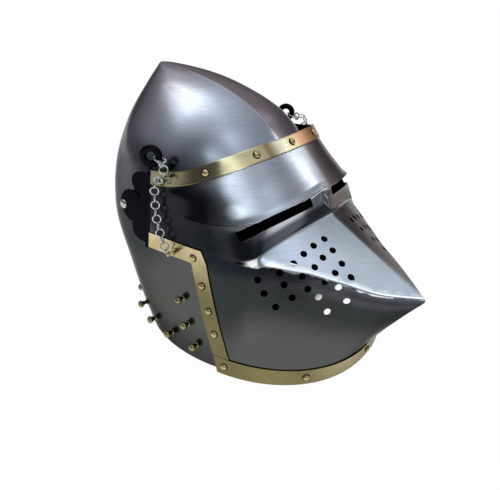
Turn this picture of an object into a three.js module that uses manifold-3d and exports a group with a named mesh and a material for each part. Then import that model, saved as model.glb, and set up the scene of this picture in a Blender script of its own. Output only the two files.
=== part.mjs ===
// Bascinet with a lifting, snouted visor: a pointed steel skull, a visor bound in brass on two side
// pivots, hinges whose pins draw out on chains, and a row of turned brass vervelles.
// Millimetres. X runs to the wearer's left, Y to the back and Z up. The rim lies in the plane z = 0.

import * as THREE from 'three';
import Module from 'manifold-3d';

const wasm = await Module();
wasm.setup();

// Plates and clearances
const steelGauge = 1.2;
const brassGauge = 1;
const leafGauge = 1.5;
const seatGap = 0.3;
const runGap = 1.8;
const cutOverrun = 20;

// Heights of the helmet's features are shares of the skull's height, so they keep together
const skullHeight = 245;
const visorHeightShare = 0.81225;
const snoutHeightShare = 0.34286;
const stepHeightShare = 0.40816;
const barrelTopShare = 0.70816;
const barrelFootShare = 0.40204;
const pivotHeightShare = 0.53469;
const cheekHeightShare = 0.40816;
const templeHeightShare = 0.57959;
const browHeightShare = 0.6449;

// Skull. The face opening is cut back from the front at the rim, at the cheek and under the brow.
const skullDepth = 290;
const skullHalfWidth = 111;
const skullKeel = 4;
const openingRim = 35;
const openingCheek = 5;
const openingCheekHeight = skullHeight * cheekHeightShare;
const openingTemple = 9;
const openingTempleHeight = skullHeight * templeHeightShare;
const openingBrow = 22;
const openingBrowHeight = skullHeight * browHeightShare;

// Visor
const visorHeight = skullHeight * visorHeightShare;
const visorBandWidth = 14;
const snoutReach = 168;
const snoutHeight = skullHeight * snoutHeightShare;
const rimBandHeight = 16;
const trimWidth = 15.5;
const lipReach = 3.4;
const visorFlare = 5.7;
const rimSetForward = 3;
const stepHeight = skullHeight * stepHeightShare;
const stepBack = 15;
const rearFoot = 23;
const breathRadius = 3.2;
const lozengeHalfWidth = 4;
const lozengeHalfHeight = 8;
const lozengeRise = 1.6;

// Hinge: a leaning barrel of three knuckles, and a pin with a ring eye above it
const barrelTop = skullHeight * barrelTopShare;
const barrelFoot = skullHeight * barrelFootShare;
const barrelBack = 65.5;
const barrelLean = 7;
const barrelRadius = 3;
const pinRadius = 1.4;
const pinTip = 1.2;
const collarRadius = 2.2;
const eyeRadius = 7;
const eyeBar = 3;
const eyeNeck = 6;
const visorLeafDepth = 26;

// Pivot on which the visor lifts
const pivotBack = 103;
const pivotHeight = skullHeight * pivotHeightShare;
const pivotShank = 2.5;
const pivotHead = 4.6;
const washerRadius = 6;
const leafDish = 2;
const leafHub = 10;

// Chain
const linkRadius = 3.7;
const linkWire = 0.6;
const linkBite = 0.45;
const eyeLinkRadius = 6;
const eyeLinkOut = 1.6;
const chainOut = 6;
const stapleRadius = 3.5;
const stapleWire = 0.9;
const stapleReach = 4.9;

// Turned studs and rivets
const verveLength = 10;
const verveShank = 2;
const rivetHead = 3.3;
const rivetShank = 1.3;
const tailHeight = 0.9;

const steel = { color: 0xaeb4bd, roughness: 0.28, metalness: 1 };
const brass = { color: 0xb8963f, roughness: 0.3, metalness: 1 };
const blackened = { color: 0x17181c, roughness: 0.5, metalness: 0.6 };
const nickel = { color: 0xcdd0d4, roughness: 0.22, metalness: 1 };

const helmet = new THREE.Group();
const part = new THREE.Group();
part.add(helmet);

// Solids

function solidOf(points, triangles) {
  const places = new Map();
  const vertices = [];
  const index = points.map((p) => {
    const key = `${p.x.toFixed(4)},${p.y.toFixed(4)},${p.z.toFixed(4)}`;
    if (!places.has(key)) {
      places.set(key, places.size);
      vertices.push(p.x, p.y, p.z);
    }
    return places.get(key);
  });
  const faces = [];
  let volume = 0;
  for (const [a, b, c] of triangles) {
    const [i, j, k] = [index[a], index[b], index[c]];
    if (i === j || j === k || k === i) continue;
    faces.push([i, j, k]);
    volume += points[a].dot(new THREE.Vector3().crossVectors(points[b], points[c]));
  }
  const triVerts = new Uint32Array(faces.flatMap(([i, j, k]) => (volume > 0 ? [i, j, k] : [i, k, j])));
  return new wasm.Manifold(new wasm.Mesh({ numProp: 3, vertProperties: new Float32Array(vertices), triVerts }));
}

function solidFrom(geometry, matrix = new THREE.Matrix4()) {
  const flat = geometry.index ? geometry.toNonIndexed() : geometry;
  const place = flat.getAttribute('position');
  const points = [];
  const triangles = [];
  for (let i = 0; i < place.count; i += 1) {
    points.push(new THREE.Vector3().fromBufferAttribute(place, i).applyMatrix4(matrix));
    if (i % 3 === 2) triangles.push([i - 2, i - 1, i]);
  }
  return solidOf(points, triangles);
}

function geometryOf(solid) {
  const mesh = solid.getMesh();
  const geometry = new THREE.BufferGeometry();
  geometry.setAttribute('position', new THREE.BufferAttribute(new Float32Array(mesh.vertProperties), 3));
  geometry.setIndex(new THREE.BufferAttribute(new Uint32Array(mesh.triVerts), 1));
  return geometry;
}

function addPiece(name, solid, look) {
  const piece = new THREE.Mesh(geometryOf(solid), new THREE.MeshStandardMaterial(look));
  piece.name = name;
  helmet.add(piece);
  return piece;
}

const joined = (solids) => solids.reduce((whole, solid) => whole.add(solid));
const cutFrom = (solid, cutters) => cutters.reduce((rest, cutter) => rest.subtract(cutter), solid);
const lerp = THREE.MathUtils.lerp;
const vector = (x, y, z) => new THREE.Vector3(x, y, z);

// A frame whose Z axis looks along a direction, for pieces that stand on a surface
function standing(point, direction) {
  const turn = new THREE.Quaternion().setFromUnitVectors(vector(0, 0, 1), direction.clone().normalize());
  return new THREE.Matrix4().compose(point, turn, vector(1, 1, 1));
}

function turned(profile, sides, matrix) {
  const lathe = new THREE.LatheGeometry(profile.map(([r, h]) => new THREE.Vector2(r, h)), sides);
  lathe.rotateX(Math.PI / 2);
  return solidFrom(lathe, matrix);
}

function rod(radius, from, to, sides) {
  const way = to.clone().sub(from);
  return turned([[0, 0], [radius, 0], [radius, way.length()], [0, way.length()]], sides, standing(from, way));
}

// A prism along X whose outline is given in Y and Z
function sidePrism(outline, fromX, toX) {
  const shape = new THREE.Shape(outline.map(([y, z]) => new THREE.Vector2(y, z)));
  const prism = new THREE.ExtrudeGeometry(shape, { depth: toX - fromX, bevelEnabled: false });
  const turn = new THREE.Matrix4().makeBasis(vector(0, 1, 0), vector(0, 0, 1), vector(1, 0, 0));
  return solidFrom(prism, new THREE.Matrix4().makeTranslation(fromX, 0, 0).multiply(turn));
}

// A prism along Y whose outline is given in X and Z
function frontPrism(outline, fromY, toY) {
  const shape = new THREE.Shape(outline.map(([x, z]) => new THREE.Vector2(x, z)));
  const prism = new THREE.ExtrudeGeometry(shape, { depth: toY - fromY, bevelEnabled: false });
  const turn = new THREE.Matrix4().makeBasis(vector(1, 0, 0), vector(0, 0, 1), vector(0, -1, 0));
  return solidFrom(prism, new THREE.Matrix4().makeTranslation(0, toY, 0).multiply(turn));
}

// Surfaces

// The wall between a surface and itself moved along its normals, over steps in both parameters
function wallOf(surface, acrossSteps, downSteps, inner, outer, closed) {
  const rows = downSteps.length;
  const columns = acrossSteps.length;
  const points = [];
  for (const shift of [outer, inner]) {
    for (const down of downSteps) {
      for (const across of acrossSteps) points.push(surface.shifted(across, down, shift));
    }
  }
  const layer = rows * columns;
  const triangles = [];
  const quad = (a, b, c, d) => triangles.push([a, b, c], [a, c, d]);
  const last = closed ? columns : columns - 1;
  for (let r = 0; r < rows - 1; r += 1) {
    for (let k = 0; k < last; k += 1) {
      const next = (k + 1) % columns;
      const [a, b, c, d] = [r * columns + k, r * columns + next, (r + 1) * columns + next, (r + 1) * columns + k];
      const [p, q, u, w] = k < last / 2 ? [b, c, d, a] : [a, b, c, d];
      quad(p, q, u, w);
      triangles.push([layer + p, layer + u, layer + q], [layer + p, layer + w, layer + u]);
    }
  }
  for (let k = 0; k < last; k += 1) {
    const next = (k + 1) % columns;
    const foot = (rows - 1) * columns;
    quad(next, k, layer + k, layer + next);
    quad(foot + k, foot + next, layer + foot + next, layer + foot + k);
  }
  if (!closed) {
    for (let r = 0; r < rows - 1; r += 1) {
      const [a, b] = [r * columns, (r + 1) * columns];
      quad(a, b, layer + b, layer + a);
      const [c, d] = [a + columns - 1, b + columns - 1];
      quad(d, c, layer + c, layer + d);
    }
  }
  return solidOf(points, triangles);
}

function normalOn(surface, across, down) {
  const [low, high] = surface.downRange;
  const step = (high - low) * normalStepShare;
  const upper = surface.point(across, Math.max(low, down - step));
  const lower = surface.point(across, Math.min(high, down + step));
  const right = surface.point(across + normalStepShare, down);
  const left = surface.point(across - normalStepShare, down);
  const normal = new THREE.Vector3().crossVectors(right.sub(left), upper.sub(lower)).normalize();
  return normal.multiplyScalar(surface.outSign);
}

const normalStepShare = 0.004;

// Catmull-Rom between the rows of a table of shares
function rowBetween(table, place) {
  const at = Math.min(Math.max(place, 0), 1) * (table.length - 1);
  const k = Math.min(Math.floor(at), table.length - 2);
  const t = at - k;
  const pick = (i) => table[Math.min(Math.max(i, 0), table.length - 1)];
  return table[k].map((value, c) => {
    const [a, b, d, e] = [pick(k - 1)[c], value, pick(k + 1)[c], pick(k + 2)[c]];
    const slopeIn = (d - a) / 2;
    const slopeOut = (e - b) / 2;
    const t2 = t * t;
    const t3 = t2 * t;
    return (2 * t3 - 3 * t2 + 1) * b + (t3 - 2 * t2 + t) * slopeIn
      + (3 * t2 - 2 * t3) * d + (t3 - t2) * slopeOut;
  });
}

// Skull: rings from the rim to the apex. Each ring gives its front point and its back point, as shares
// of the depth and height, its half width as a share of the rim's, and how square its oval is.
const skullRingShares = [
  [-0.386, 0, 0.456, 0, 1, 2.05],
  [-0.338, 0.102, 0.512, 0.102, 0.97, 2.1],
  [-0.269, 0.245, 0.553, 0.245, 0.936, 2.3],
  [-0.193, 0.408, 0.592, 0.4, 0.915, 2.5],
  [-0.128, 0.543, 0.594, 0.522, 0.901, 2.5],
  [-0.069, 0.665, 0.583, 0.653, 0.863, 2.4],
  [0.007, 0.784, 0.554, 0.765, 0.766, 2.44],
  [0.09, 0.869, 0.532, 0.861, 0.598, 2.5],
  [0.207, 0.935, 0.512, 0.958, 0.385, 2.08],
  [0.345, 0.976, 0.517, 0.994, 0.172, 1.7],
  [0.51, 1, 0.51, 1, 0, 2],
];
const skullSideShare = 0.916;
const keelSpreadShare = 0.45;
const backKeelShare = 0.4;

const power = (value, exponent) => Math.sign(value) * Math.abs(value) ** exponent;

const skullSurface = {
  downRange: [0, 1],
  outSign: -1,
  point(angle, rise) {
    const [fy, fz, by, bz, width, square] = rowBetween(skullRingShares, rise);
    const front = vector(0, fy * skullDepth, fz * skullHeight);
    const back = vector(0, by * skullDepth, bz * skullHeight);
    const middle = front.clone().add(back).multiplyScalar(0.5);
    const reach = front.clone().sub(back).multiplyScalar(0.5);
    const along = power(Math.cos(angle), 2 / square);
    const side = power(Math.sin(angle), 2 / square) * width * skullHalfWidth;
    const frontTurn = Math.abs(Math.atan2(Math.sin(angle), Math.cos(angle)));
    const ridge = Math.max(0, 1 - frontTurn / keelSpreadShare) ** 2
      + backKeelShare * Math.max(0, 1 - (Math.PI - frontTurn) / keelSpreadShare) ** 2 * -1;
    const keel = skullKeel * ridge * Math.sin(Math.PI * Math.min(rise, 1));
    const place = middle.addScaledVector(reach, along);
    if (reach.length() > skullKeel) place.addScaledVector(reach.clone().normalize(), keel);
    return vector(side, place.y, place.z);
  },
  shifted(angle, rise, shift) {
    if (rise >= 1) return this.point(angle, 1).add(vector(0, 0, shift * apexThickening));
    const place = this.point(angle, rise).addScaledVector(normalOn(this, angle, rise), shift);
    if (rise <= 0) place.z = 0;
    return place;
  },
};
const apexThickening = 1.5;

// Skull places by their depth and height on one side
function onSkull(side, y, z) {
  let [low, high] = [0, 1];
  let angle = Math.PI / 2;
  for (let turn = 0; turn < 30; turn += 1) {
    const rise = (low + high) / 2;
    let [front, back] = [0, Math.PI];
    for (let step = 0; step < 30; step += 1) {
      angle = (front + back) / 2;
      if (skullSurface.point(angle, rise).y < y) front = angle;
      else back = angle;
    }
    if (skullSurface.point(angle, rise).z < z) low = rise;
    else high = rise;
  }
  const across = side * angle;
  return { point: skullSurface.point(across, high), normal: normalOn(skullSurface, across, high) };
}

const outFrom = ({ point, normal }, distance) => point.clone().addScaledVector(normal, distance);

// The flat facet of a wall under a place on its smooth surface, so that studs sit square on the wall
function facetsOf(wall) {
  const mesh = new THREE.Mesh(geometryOf(wall), new THREE.MeshBasicMaterial({ side: THREE.DoubleSide }));
  const ray = new THREE.Raycaster();
  return (place) => {
    ray.set(outFrom(place, cutOverrun), place.normal.clone().negate());
    const [hit] = ray.intersectObject(mesh);
    return { point: hit.point, normal: hit.face.normal.clone() };
  };
}

const skullColumnCount = 32;
const skullRowCount = 12;
const ringAngles = Array.from({ length: skullColumnCount }, (_, k) => (2 * Math.PI * k) / skullColumnCount);
const ringRises = Array.from({ length: skullRowCount + 1 }, (_, k) => 1 - (1 - k / skullRowCount) ** 1.25);
const skullWall = wallOf(skullSurface, ringAngles, ringRises, -steelGauge, 0, true);
const skullFacet = facetsOf(skullWall);

// Hinge line: the barrel leans forward as it rises, and stands clear of the skull's side
const skullSide = skullHalfWidth * skullSideShare;
const leafInner = skullSide + runGap;
const hingeOut = leafInner + barrelRadius;
const visorSide = hingeOut + runGap;
const barrelMiddle = (barrelTop + barrelFoot) / 2;
const barrelLength = barrelTop - barrelFoot;
const hingeBackAt = (z) => barrelBack - (barrelLean * (z - barrelMiddle)) / barrelLength;

// Visor: rows from the top edge to the rim, all seen from an upright axis through the hinge line.
// A row is a curve from the middle of the front to the hinge.
const rowSampleCount = 120;

// Front point of the row, height at the hinge, squareness of its plan and how late its height falls
function ovalRow(front, height, sideHeight, square, fall, halfWidth, middle) {
  const places = [];
  for (let k = 0; k <= rowSampleCount; k += 1) {
    const turn = (Math.PI / 2) * (k / rowSampleCount);
    const x = halfWidth * power(Math.sin(turn), 2 / square);
    const y = middle - (middle - front) * power(Math.cos(turn), 2 / square);
    const z = sideHeight + (height - sideHeight) * (1 - (x / halfWidth) ** fall);
    places.push(vector(x, y, z));
  }
  places.push(vector(halfWidth, Math.max(middle, barrelBack) + cutOverrun, sideHeight));
  return places;
}

function freeRow(points) {
  return new THREE.CatmullRomCurve3(points, false, 'centripetal').getPoints(rowSampleCount);
}

// Where a row crosses the upright plane through the axis at an angle from the front
function rowAt(places, angle) {
  const away = (p) => Math.atan2(p.x, barrelBack - p.y);
  let k = 0;
  while (k < places.length - 2 && away(places[k + 1]) < angle) k += 1;
  const [a, b] = [places[k], places[k + 1]];
  const [from, to] = [away(a), away(b)];
  const t = to > from ? Math.max(0, (angle - from) / (to - from)) : 0;
  return a.clone().lerp(b, t);
}

// The visor's front profile as shares of its height and of the snout's reach: depth, then height
const topEdgeShares = [-0.056, 1];
const browShares = [-0.196, 0.882];
const lipRootShares = [-0.283, 0.812];
const lipUnderShares = [-0.304, 0.787];
const noseShares = [-0.381, 0.688];
const rimFrontShare = -0.708;
const sideHeightShares = { top: 0.893, brow: 0.8, lipRoot: 0.725, lipUnder: 0.695, nose: 0.62, ridge: 0.45 };
const rimMiddle = skullDepth * (skullRingShares[0][0] + skullRingShares[0][2]) / 2 - rimSetForward;

const frontPoint = ([depth, height]) => [depth * snoutReach, height * visorHeight];
const rowFrom = (shares, side, square, fall) => ovalRow(...frontPoint(shares), side * visorHeight, square, fall,
  visorSide, barrelBack);
const bandDropShares = [-0.71, 0.7];
const bandFoot = [
  topEdgeShares[0] + (bandDropShares[0] * visorBandWidth) / snoutReach,
  topEdgeShares[1] - (bandDropShares[1] * visorBandWidth) / visorHeight,
];

// Across the face under the sights and along the side of the snout: width, depth and height as shares
// of the visor's half width, the snout's reach and the visor's height
const creaseShares = [
  [0, ...noseShares],
  [0.257, -0.346, 0.668],
  [0.498, -0.306, 0.643],
  [0.692, -0.277, 0.616],
  [0.84, -0.25, 0.592],
  [0.9, -0.2, 0.58],
  [0.965, 0, 0.6],
  [1, 0.4, sideHeightShares.nose],
];
const ridgeShares = [
  [0.27, -0.79, 0.452],
  [0.43, -0.61, 0.496],
  [0.565, -0.478, 0.532],
  [0.85, -0.235, 0.562],
  [0.95, 0, 0.52],
  [1, 0.4, sideHeightShares.ridge],
];
const facePoint = ([x, y, z]) => vector(x * visorSide, y * snoutReach, z * visorHeight);

const rimWidth = visorSide + visorFlare;
const rimRow = (height) => ovalRow(rimFrontShare * snoutReach - height * rimSlopeShare, height, height,
  rimSquareShare, 1, rimWidth - height * rimSlopeShare, rimMiddle);
const rimSlopeShare = 0.12;
const rimSquareShare = 2.25;

const lipMiddle = [0, 1].map((i) => (lipRootShares[i] + lipUnderShares[i]) / 2);
const lipSide = (sideHeightShares.lipRoot + sideHeightShares.lipUnder) / 2;
const visorRows = [
  rowFrom(topEdgeShares, sideHeightShares.top, 2.3, 3),
  rowFrom(bandFoot, sideHeightShares.top - (visorBandWidth / visorHeight), 2.35, 3),
  rowFrom(browShares, sideHeightShares.brow, 2.6, 1.9),
  rowFrom(lipRootShares, sideHeightShares.lipRoot, 3.2, 1.5),
  rowFrom(lipMiddle, lipSide, 3.3, 1.4),
  rowFrom(lipUnderShares, sideHeightShares.lipUnder, 3.4, 1.3),
  freeRow(creaseShares.map(facePoint)),
  freeRow([vector(0, -snoutReach, snoutHeight), ...ridgeShares.map(facePoint)]),
  rimRow(rimBandHeight),
  rimRow(0),
];
const row = {
  top: 0, bandFoot: 1, brow: 2, lipRoot: 3, lip: 4, lipUnder: 5, crease: 6, ridge: 7, bandHead: 8, rim: 9,
};
const lipFadeShares = [0.5, 0.85];
const cheekPullShares = [0.56, 0.5];
const cheekSwell = 4;

const visorSurface = {
  downRange: [0, visorRows.length - 1],
  outSign: 1,
  point(across, down) {
    const angle = Math.abs(across) * (Math.PI / 2);
    const k = Math.min(Math.floor(down), visorRows.length - 2);
    const t = down - k;
    const upper = this.rowPoint(k, angle);
    const lower = this.rowPoint(k + 1, angle);
    const place = upper.clone().lerp(lower, t);
    if (k === row.ridge) {
      const pull = vector(0, 0, lerp(upper.z, lower.z, cheekPullShares[1]));
      const swell = cheekSwell * Math.sin(Math.min(angle * 2, Math.PI));
      pull.x = lerp(upper.x, lower.x, cheekPullShares[0]) + swell * Math.sin(angle);
      pull.y = lerp(upper.y, lower.y, cheekPullShares[0]) - swell * Math.cos(angle);
      place.copy(upper).multiplyScalar((1 - t) ** 2);
      place.addScaledVector(pull, 2 * t * (1 - t)).addScaledVector(lower, t ** 2);
    }
    place.x *= Math.sign(across) || 1;
    return place;
  },
  rowPoint(k, angle) {
    const place = rowAt(visorRows[k], angle);
    if (k === row.lip) {
      const fade = THREE.MathUtils.smoothstep(angle / (Math.PI / 2), ...lipFadeShares);
      place.x += lipReach * (1 - fade) * Math.sin(angle);
      place.y -= lipReach * (1 - fade) * Math.cos(angle);
    }
    return place;
  },
  shifted(across, down, shift) {
    const place = this.point(across, down).addScaledVector(normalOn(this, across, down), shift);
    if (down >= row.rim) place.z = 0;
    return place;
  },
};

// Steps across run from hinge to hinge and lie closer towards the tip of the snout
const acrossHalf = [0, 0.025, 0.06, 0.105, 0.155, 0.205, 0.26, 0.315, 0.37, 0.425, 0.48, 0.54, 0.61, 0.68, 0.76,
  0.84, 0.92, 1.02];
const acrossSteps = [...acrossHalf.slice(1).reverse().map((a) => -a), ...acrossHalf];
const stepsBetween = (from, to, count) => Array.from({ length: count }, (_, k) => from + ((to - from) * k) / count);
const downSteps = [
  0, ...stepsBetween(1, row.lipRoot, 4), row.lipRoot, row.lip, ...stepsBetween(row.lipUnder, row.crease, 2),
  ...stepsBetween(row.crease, row.ridge, 4), ...stepsBetween(row.ridge, row.bandHead, 6), row.bandHead, row.rim,
];

const visorWall = wallOf(visorSurface, acrossSteps, downSteps, -steelGauge, 0, false);
const visorFacet = facetsOf(visorWall);

// What lies behind the visor's stepped rear edge, seen from the side
const edgeBackAt = (z) => hingeBackAt(z) - barrelRadius - seatGap;
const stepSlope = (stepBack + rearFoot) / stepHeight;
const slantAt = (z) => stepSlope * z - rearFoot;
const overTop = visorHeight + cutOverrun;
const behindVisor = sidePrism([
  [edgeBackAt(overTop), overTop],
  [edgeBackAt(stepHeight), stepHeight],
  [stepBack, stepHeight],
  [slantAt(-cutOverrun), -cutOverrun],
  [skullDepth, -cutOverrun],
  [skullDepth, overTop],
], -skullDepth, skullDepth);

// The place on the visor at a height, between two rows, where X or Y has a wanted value
function onVisor(side, axis, value, height, from, to) {
  let [near, far] = [0, 1];
  let [across, down] = [0, from];
  for (let turn = 0; turn < 30; turn += 1) {
    across = (near + far) / 2;
    let [upper, lower] = [from, to];
    for (let step = 0; step < 30; step += 1) {
      down = (upper + lower) / 2;
      if (visorSurface.point(across, down).z > height) upper = down;
      else lower = down;
    }
    if (visorSurface.point(across, down)[axis] < value) near = across;
    else far = across;
  }
  return { point: visorSurface.point(side * across, down), normal: normalOn(visorSurface, side * across, down) };
}

const bothSides = [['R', -1], ['L', 1]];
const sidesOf = (share) => (share === 0 ? [['M', 1]] : bothSides);
// Sights: width and height of each corner as shares of the visor's half width and height
const sightShares = [[0.194, 0.749], [0.591, 0.709], [0.859, 0.658], [0.873, 0.701], [0.72, 0.749], [0.536, 0.776],
  [0.231, 0.791]];
const sights = bothSides.map(([, side]) => frontPrism(
  sightShares.map(([x, z]) => [side * x * visorSide, z * visorHeight]), -snoutReach / 2, 0));

// Breath holes in bowed rows: first and last hole, how many and how far the row bows up
const breathRowShares = [
  [[0.249, 0.623], [0.84, 0.503], 6, 0.015],
  [[0.268, 0.588], [0.831, 0.445], 6, 0.018],
  [[0.295, 0.548], [0.794, 0.387], 6, 0.013],
  [[0.323, 0.508], [0.545, 0.427], 3, 0.005],
  [[0.397, 0.407], [0.508, 0.357], 2, 0],
];
const breathHoles = bothSides.flatMap(([, side]) => breathRowShares.flatMap(([first, last, count, bow]) => (
  Array.from({ length: count }, (_, k) => {
    const t = k / (count - 1);
    const x = lerp(first[0], last[0], t) * visorSide;
    const z = (lerp(first[1], last[1], t) + 4 * bow * t * (1 - t)) * visorHeight;
    const place = onVisor(side, 'x', x, z, row.crease, row.bandHead);
    return rod(breathRadius, outFrom(place, -2 * breathRadius), outFrom(place, 2 * breathRadius), 6);
  })
)));

// Domed rivets through the trim and the visor. The place is on the visor's outer face.
const domeShares = [[1, 0], [0.9, 0.28], [0.5, 0.52], [0, 0.6]];
const domeOver = (radius, foot) => domeShares.map(([r, h]) => [r * radius, foot + h * radius]);
const tailShare = 0.62;
const trimOuter = seatGap + brassGauge;
const plateHoles = [];
const trimPieces = [];
function pinThrough(place, headProfile) {
  const tail = -steelGauge - 3 * seatGap;
  const profile = [
    [0, tail - tailHeight],
    [tailShare * rivetHead, tail - tailHeight],
    [tailShare * rivetHead, tail],
    [rivetShank, tail],
    ...headProfile,
  ];
  plateHoles.push(rod(rivetShank + seatGap, outFrom(place, -cutOverrun / 4), outFrom(place, cutOverrun / 4), 6));
  return turned(profile, 6, standing(place.point, place.normal));
}
function addRivet(name, place) {
  const head = trimOuter + 1.5 * seatGap;
  trimPieces.push([name, pinThrough(visorFacet(place), [[rivetShank, head], ...domeOver(rivetHead, head)])]);
}

const topRivetShares = [0, 0.443, 0.822];
const rimRivetShares = [0, 0.649, 0.965];
const sideRivetShares = [[0.077, 0.533], [0.006, 0.412], [-0.052, 0.302], [-0.099, 0.196]];
const bandMiddle = 0.5;
topRivetShares.forEach((share, k) => sidesOf(share).forEach(([label, side]) => {
  addRivet(`rivet_top_${k + 1}_${label}`, onVisor(side, 'x', share * visorSide, 0, bandMiddle, bandMiddle));
}));
rimRivetShares.forEach((share, k) => sidesOf(share).forEach(([label, side]) => {
  const middle = row.bandHead + bandMiddle;
  addRivet(`rivet_rim_${k + 1}_${label}`, onVisor(side, 'x', share * rimWidth, 0, middle, middle));
}));
sideRivetShares.forEach(([y, z], k) => bothSides.forEach(([label, side]) => {
  addRivet(`rivet_side_${k + 1}_${label}`,
    onVisor(side, 'y', y * snoutReach, z * visorHeight, row.crease, row.bandHead));
}));

// Barrel frame: how far behind the barrel's axis and how far up along it, seen from the side
const barrelSlant = Math.hypot(barrelLean, barrelLength);
const barrelUp = [-barrelLean / barrelSlant, barrelLength / barrelSlant];
const barrelPlace = (back, up) => [
  barrelBack + back * barrelUp[1] + up * barrelUp[0],
  barrelMiddle - back * barrelUp[0] + up * barrelUp[1],
];
const onBarrel = (side, up) => vector(side * hingeOut, ...barrelPlace(0, up));
const barrelShape = (outline, fromX, toX) => sidePrism(outline.map(([back, up]) => barrelPlace(back, up)),
  fromX, toX);
const bothX = (side, inner, outer) => (side > 0 ? [inner, outer] : [-outer, -inner]);
const knuckleShares = [-0.5, -0.083, 0.25, 0.5];
const knuckle = (side, from, to) => rod(barrelRadius, onBarrel(side, knuckleShares[from] * barrelSlant + seatGap / 2),
  onBarrel(side, knuckleShares[to] * barrelSlant - seatGap / 2), 12);
const pinBore = (side) => rod(pinRadius + seatGap, onBarrel(side, -barrelSlant), onBarrel(side, barrelSlant), 12);

// Pivot leaf: a strip by the barrel and three lobes, dished towards the pivot
const leafStripShare = 0.187;
const leafEndShares = [-0.487, 0.448];
const leafLobeShares = [[0.33, -0.08, 0.22], [0.187, 0.29, 0.145], [0.17, -0.33, 0.155]];
const pivotWay = (side) => standing(vector(0, pivotBack, pivotHeight), vector(side, 0, 0));
const pivotReach = Math.hypot(pivotBack - barrelBack, pivotHeight - barrelMiddle);
const hubInner = leafInner - leafDish;
function pivotLeaf(side) {
  const far = 2 * pivotReach;
  const rimAt = pivotReach - 2 * barrelRadius;
  const dish = turned([
    [0, hubInner], [leafHub, hubInner], [rimAt, leafInner], [far, leafInner],
    [far, leafInner + leafGauge], [rimAt, leafInner + leafGauge], [leafHub, hubInner + leafGauge],
    [0, hubInner + leafGauge],
  ], 24, pivotWay(side));
  const [fromX, toX] = bothX(side, 0, skullDepth);
  const [foot, head] = leafEndShares.map((share) => share * barrelSlant);
  const strip = barrelShape([[0, foot], [leafStripShare * barrelSlant, foot], [leafStripShare * barrelSlant, head],
    [0, head]], fromX, toX);
  const lobes = leafLobeShares.map(([back, up, radius]) => {
    const [y, z] = barrelPlace(back * barrelSlant, up * barrelSlant);
    return rod(radius * barrelSlant, vector(fromX, y, z), vector(toX, y, z), 20);
  });
  const clear = barrelRadius + 2 * seatGap;
  const [low, high] = [knuckleShares[1] * barrelSlant - seatGap / 2, knuckleShares[2] * barrelSlant + seatGap / 2];
  const notch = barrelShape([[-clear, low], [clear, low], [clear, high], [-clear, high]], fromX, toX);
  const hole = rod(pivotShank + seatGap, vector(0, pivotBack, pivotHeight),
    vector(side * skullDepth, pivotBack, pivotHeight), 16);
  const plate = cutFrom(joined([strip, ...lobes]).intersect(dish), [notch, hole]);
  return cutFrom(joined([plate, knuckle(side, 0, 1), knuckle(side, 2, 3)]), [pinBore(side)]);
}

// Visor leaf: inside the visor's rear edge, with the middle knuckle
function visorLeaf(side) {
  const outer = -steelGauge - 2 * seatGap;
  const steps = acrossSteps.filter((across) => across * side > 0.5);
  const rows = downSteps.filter((down) => down >= row.bandFoot && down <= row.ridge);
  const sheet = wallOf(visorSurface, steps, rows, outer - leafGauge, outer, false);
  const [foot, head] = [leafEndShares[0] * barrelSlant, leafEndShares[1] * barrelSlant];
  const [low, high] = [knuckleShares[1] * barrelSlant + seatGap / 2, knuckleShares[2] * barrelSlant - seatGap / 2];
  const edge = -barrelRadius - 2 * seatGap;
  const shape = barrelShape([[-visorLeafDepth, foot], [edge, foot], [edge, low], [0, low], [0, high], [edge, high],
    [edge, head], [-visorLeafDepth, head]], ...bothX(side, 0, skullDepth));
  return cutFrom(joined([sheet.intersect(shape), knuckle(side, 1, 2)]), [pinBore(side)]);
}

// Hinge pin: it rests on the barrel by a collar and carries a ring eye
const eyeUp = barrelSlant / 2 + eyeNeck + eyeRadius + eyeBar;
const eyeMiddle = barrelPlace(0, eyeUp);
function hingePin(side) {
  const foot = -barrelSlant / 2 - pinTip;
  const seat = barrelSlant / 2 + seatGap;
  const shank = rod(pinRadius, onBarrel(side, foot), onBarrel(side, eyeUp - eyeRadius), 10);
  const collar = rod(collarRadius, onBarrel(side, seat), onBarrel(side, seat + pinTip), 12);
  const eye = solidFrom(new THREE.TorusGeometry(eyeRadius, eyeBar, 7, 18),
    standing(vector(side * hingeOut, ...eyeMiddle), vector(1, 0, 0)));
  return joined([shank, collar, eye]);
}

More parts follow.
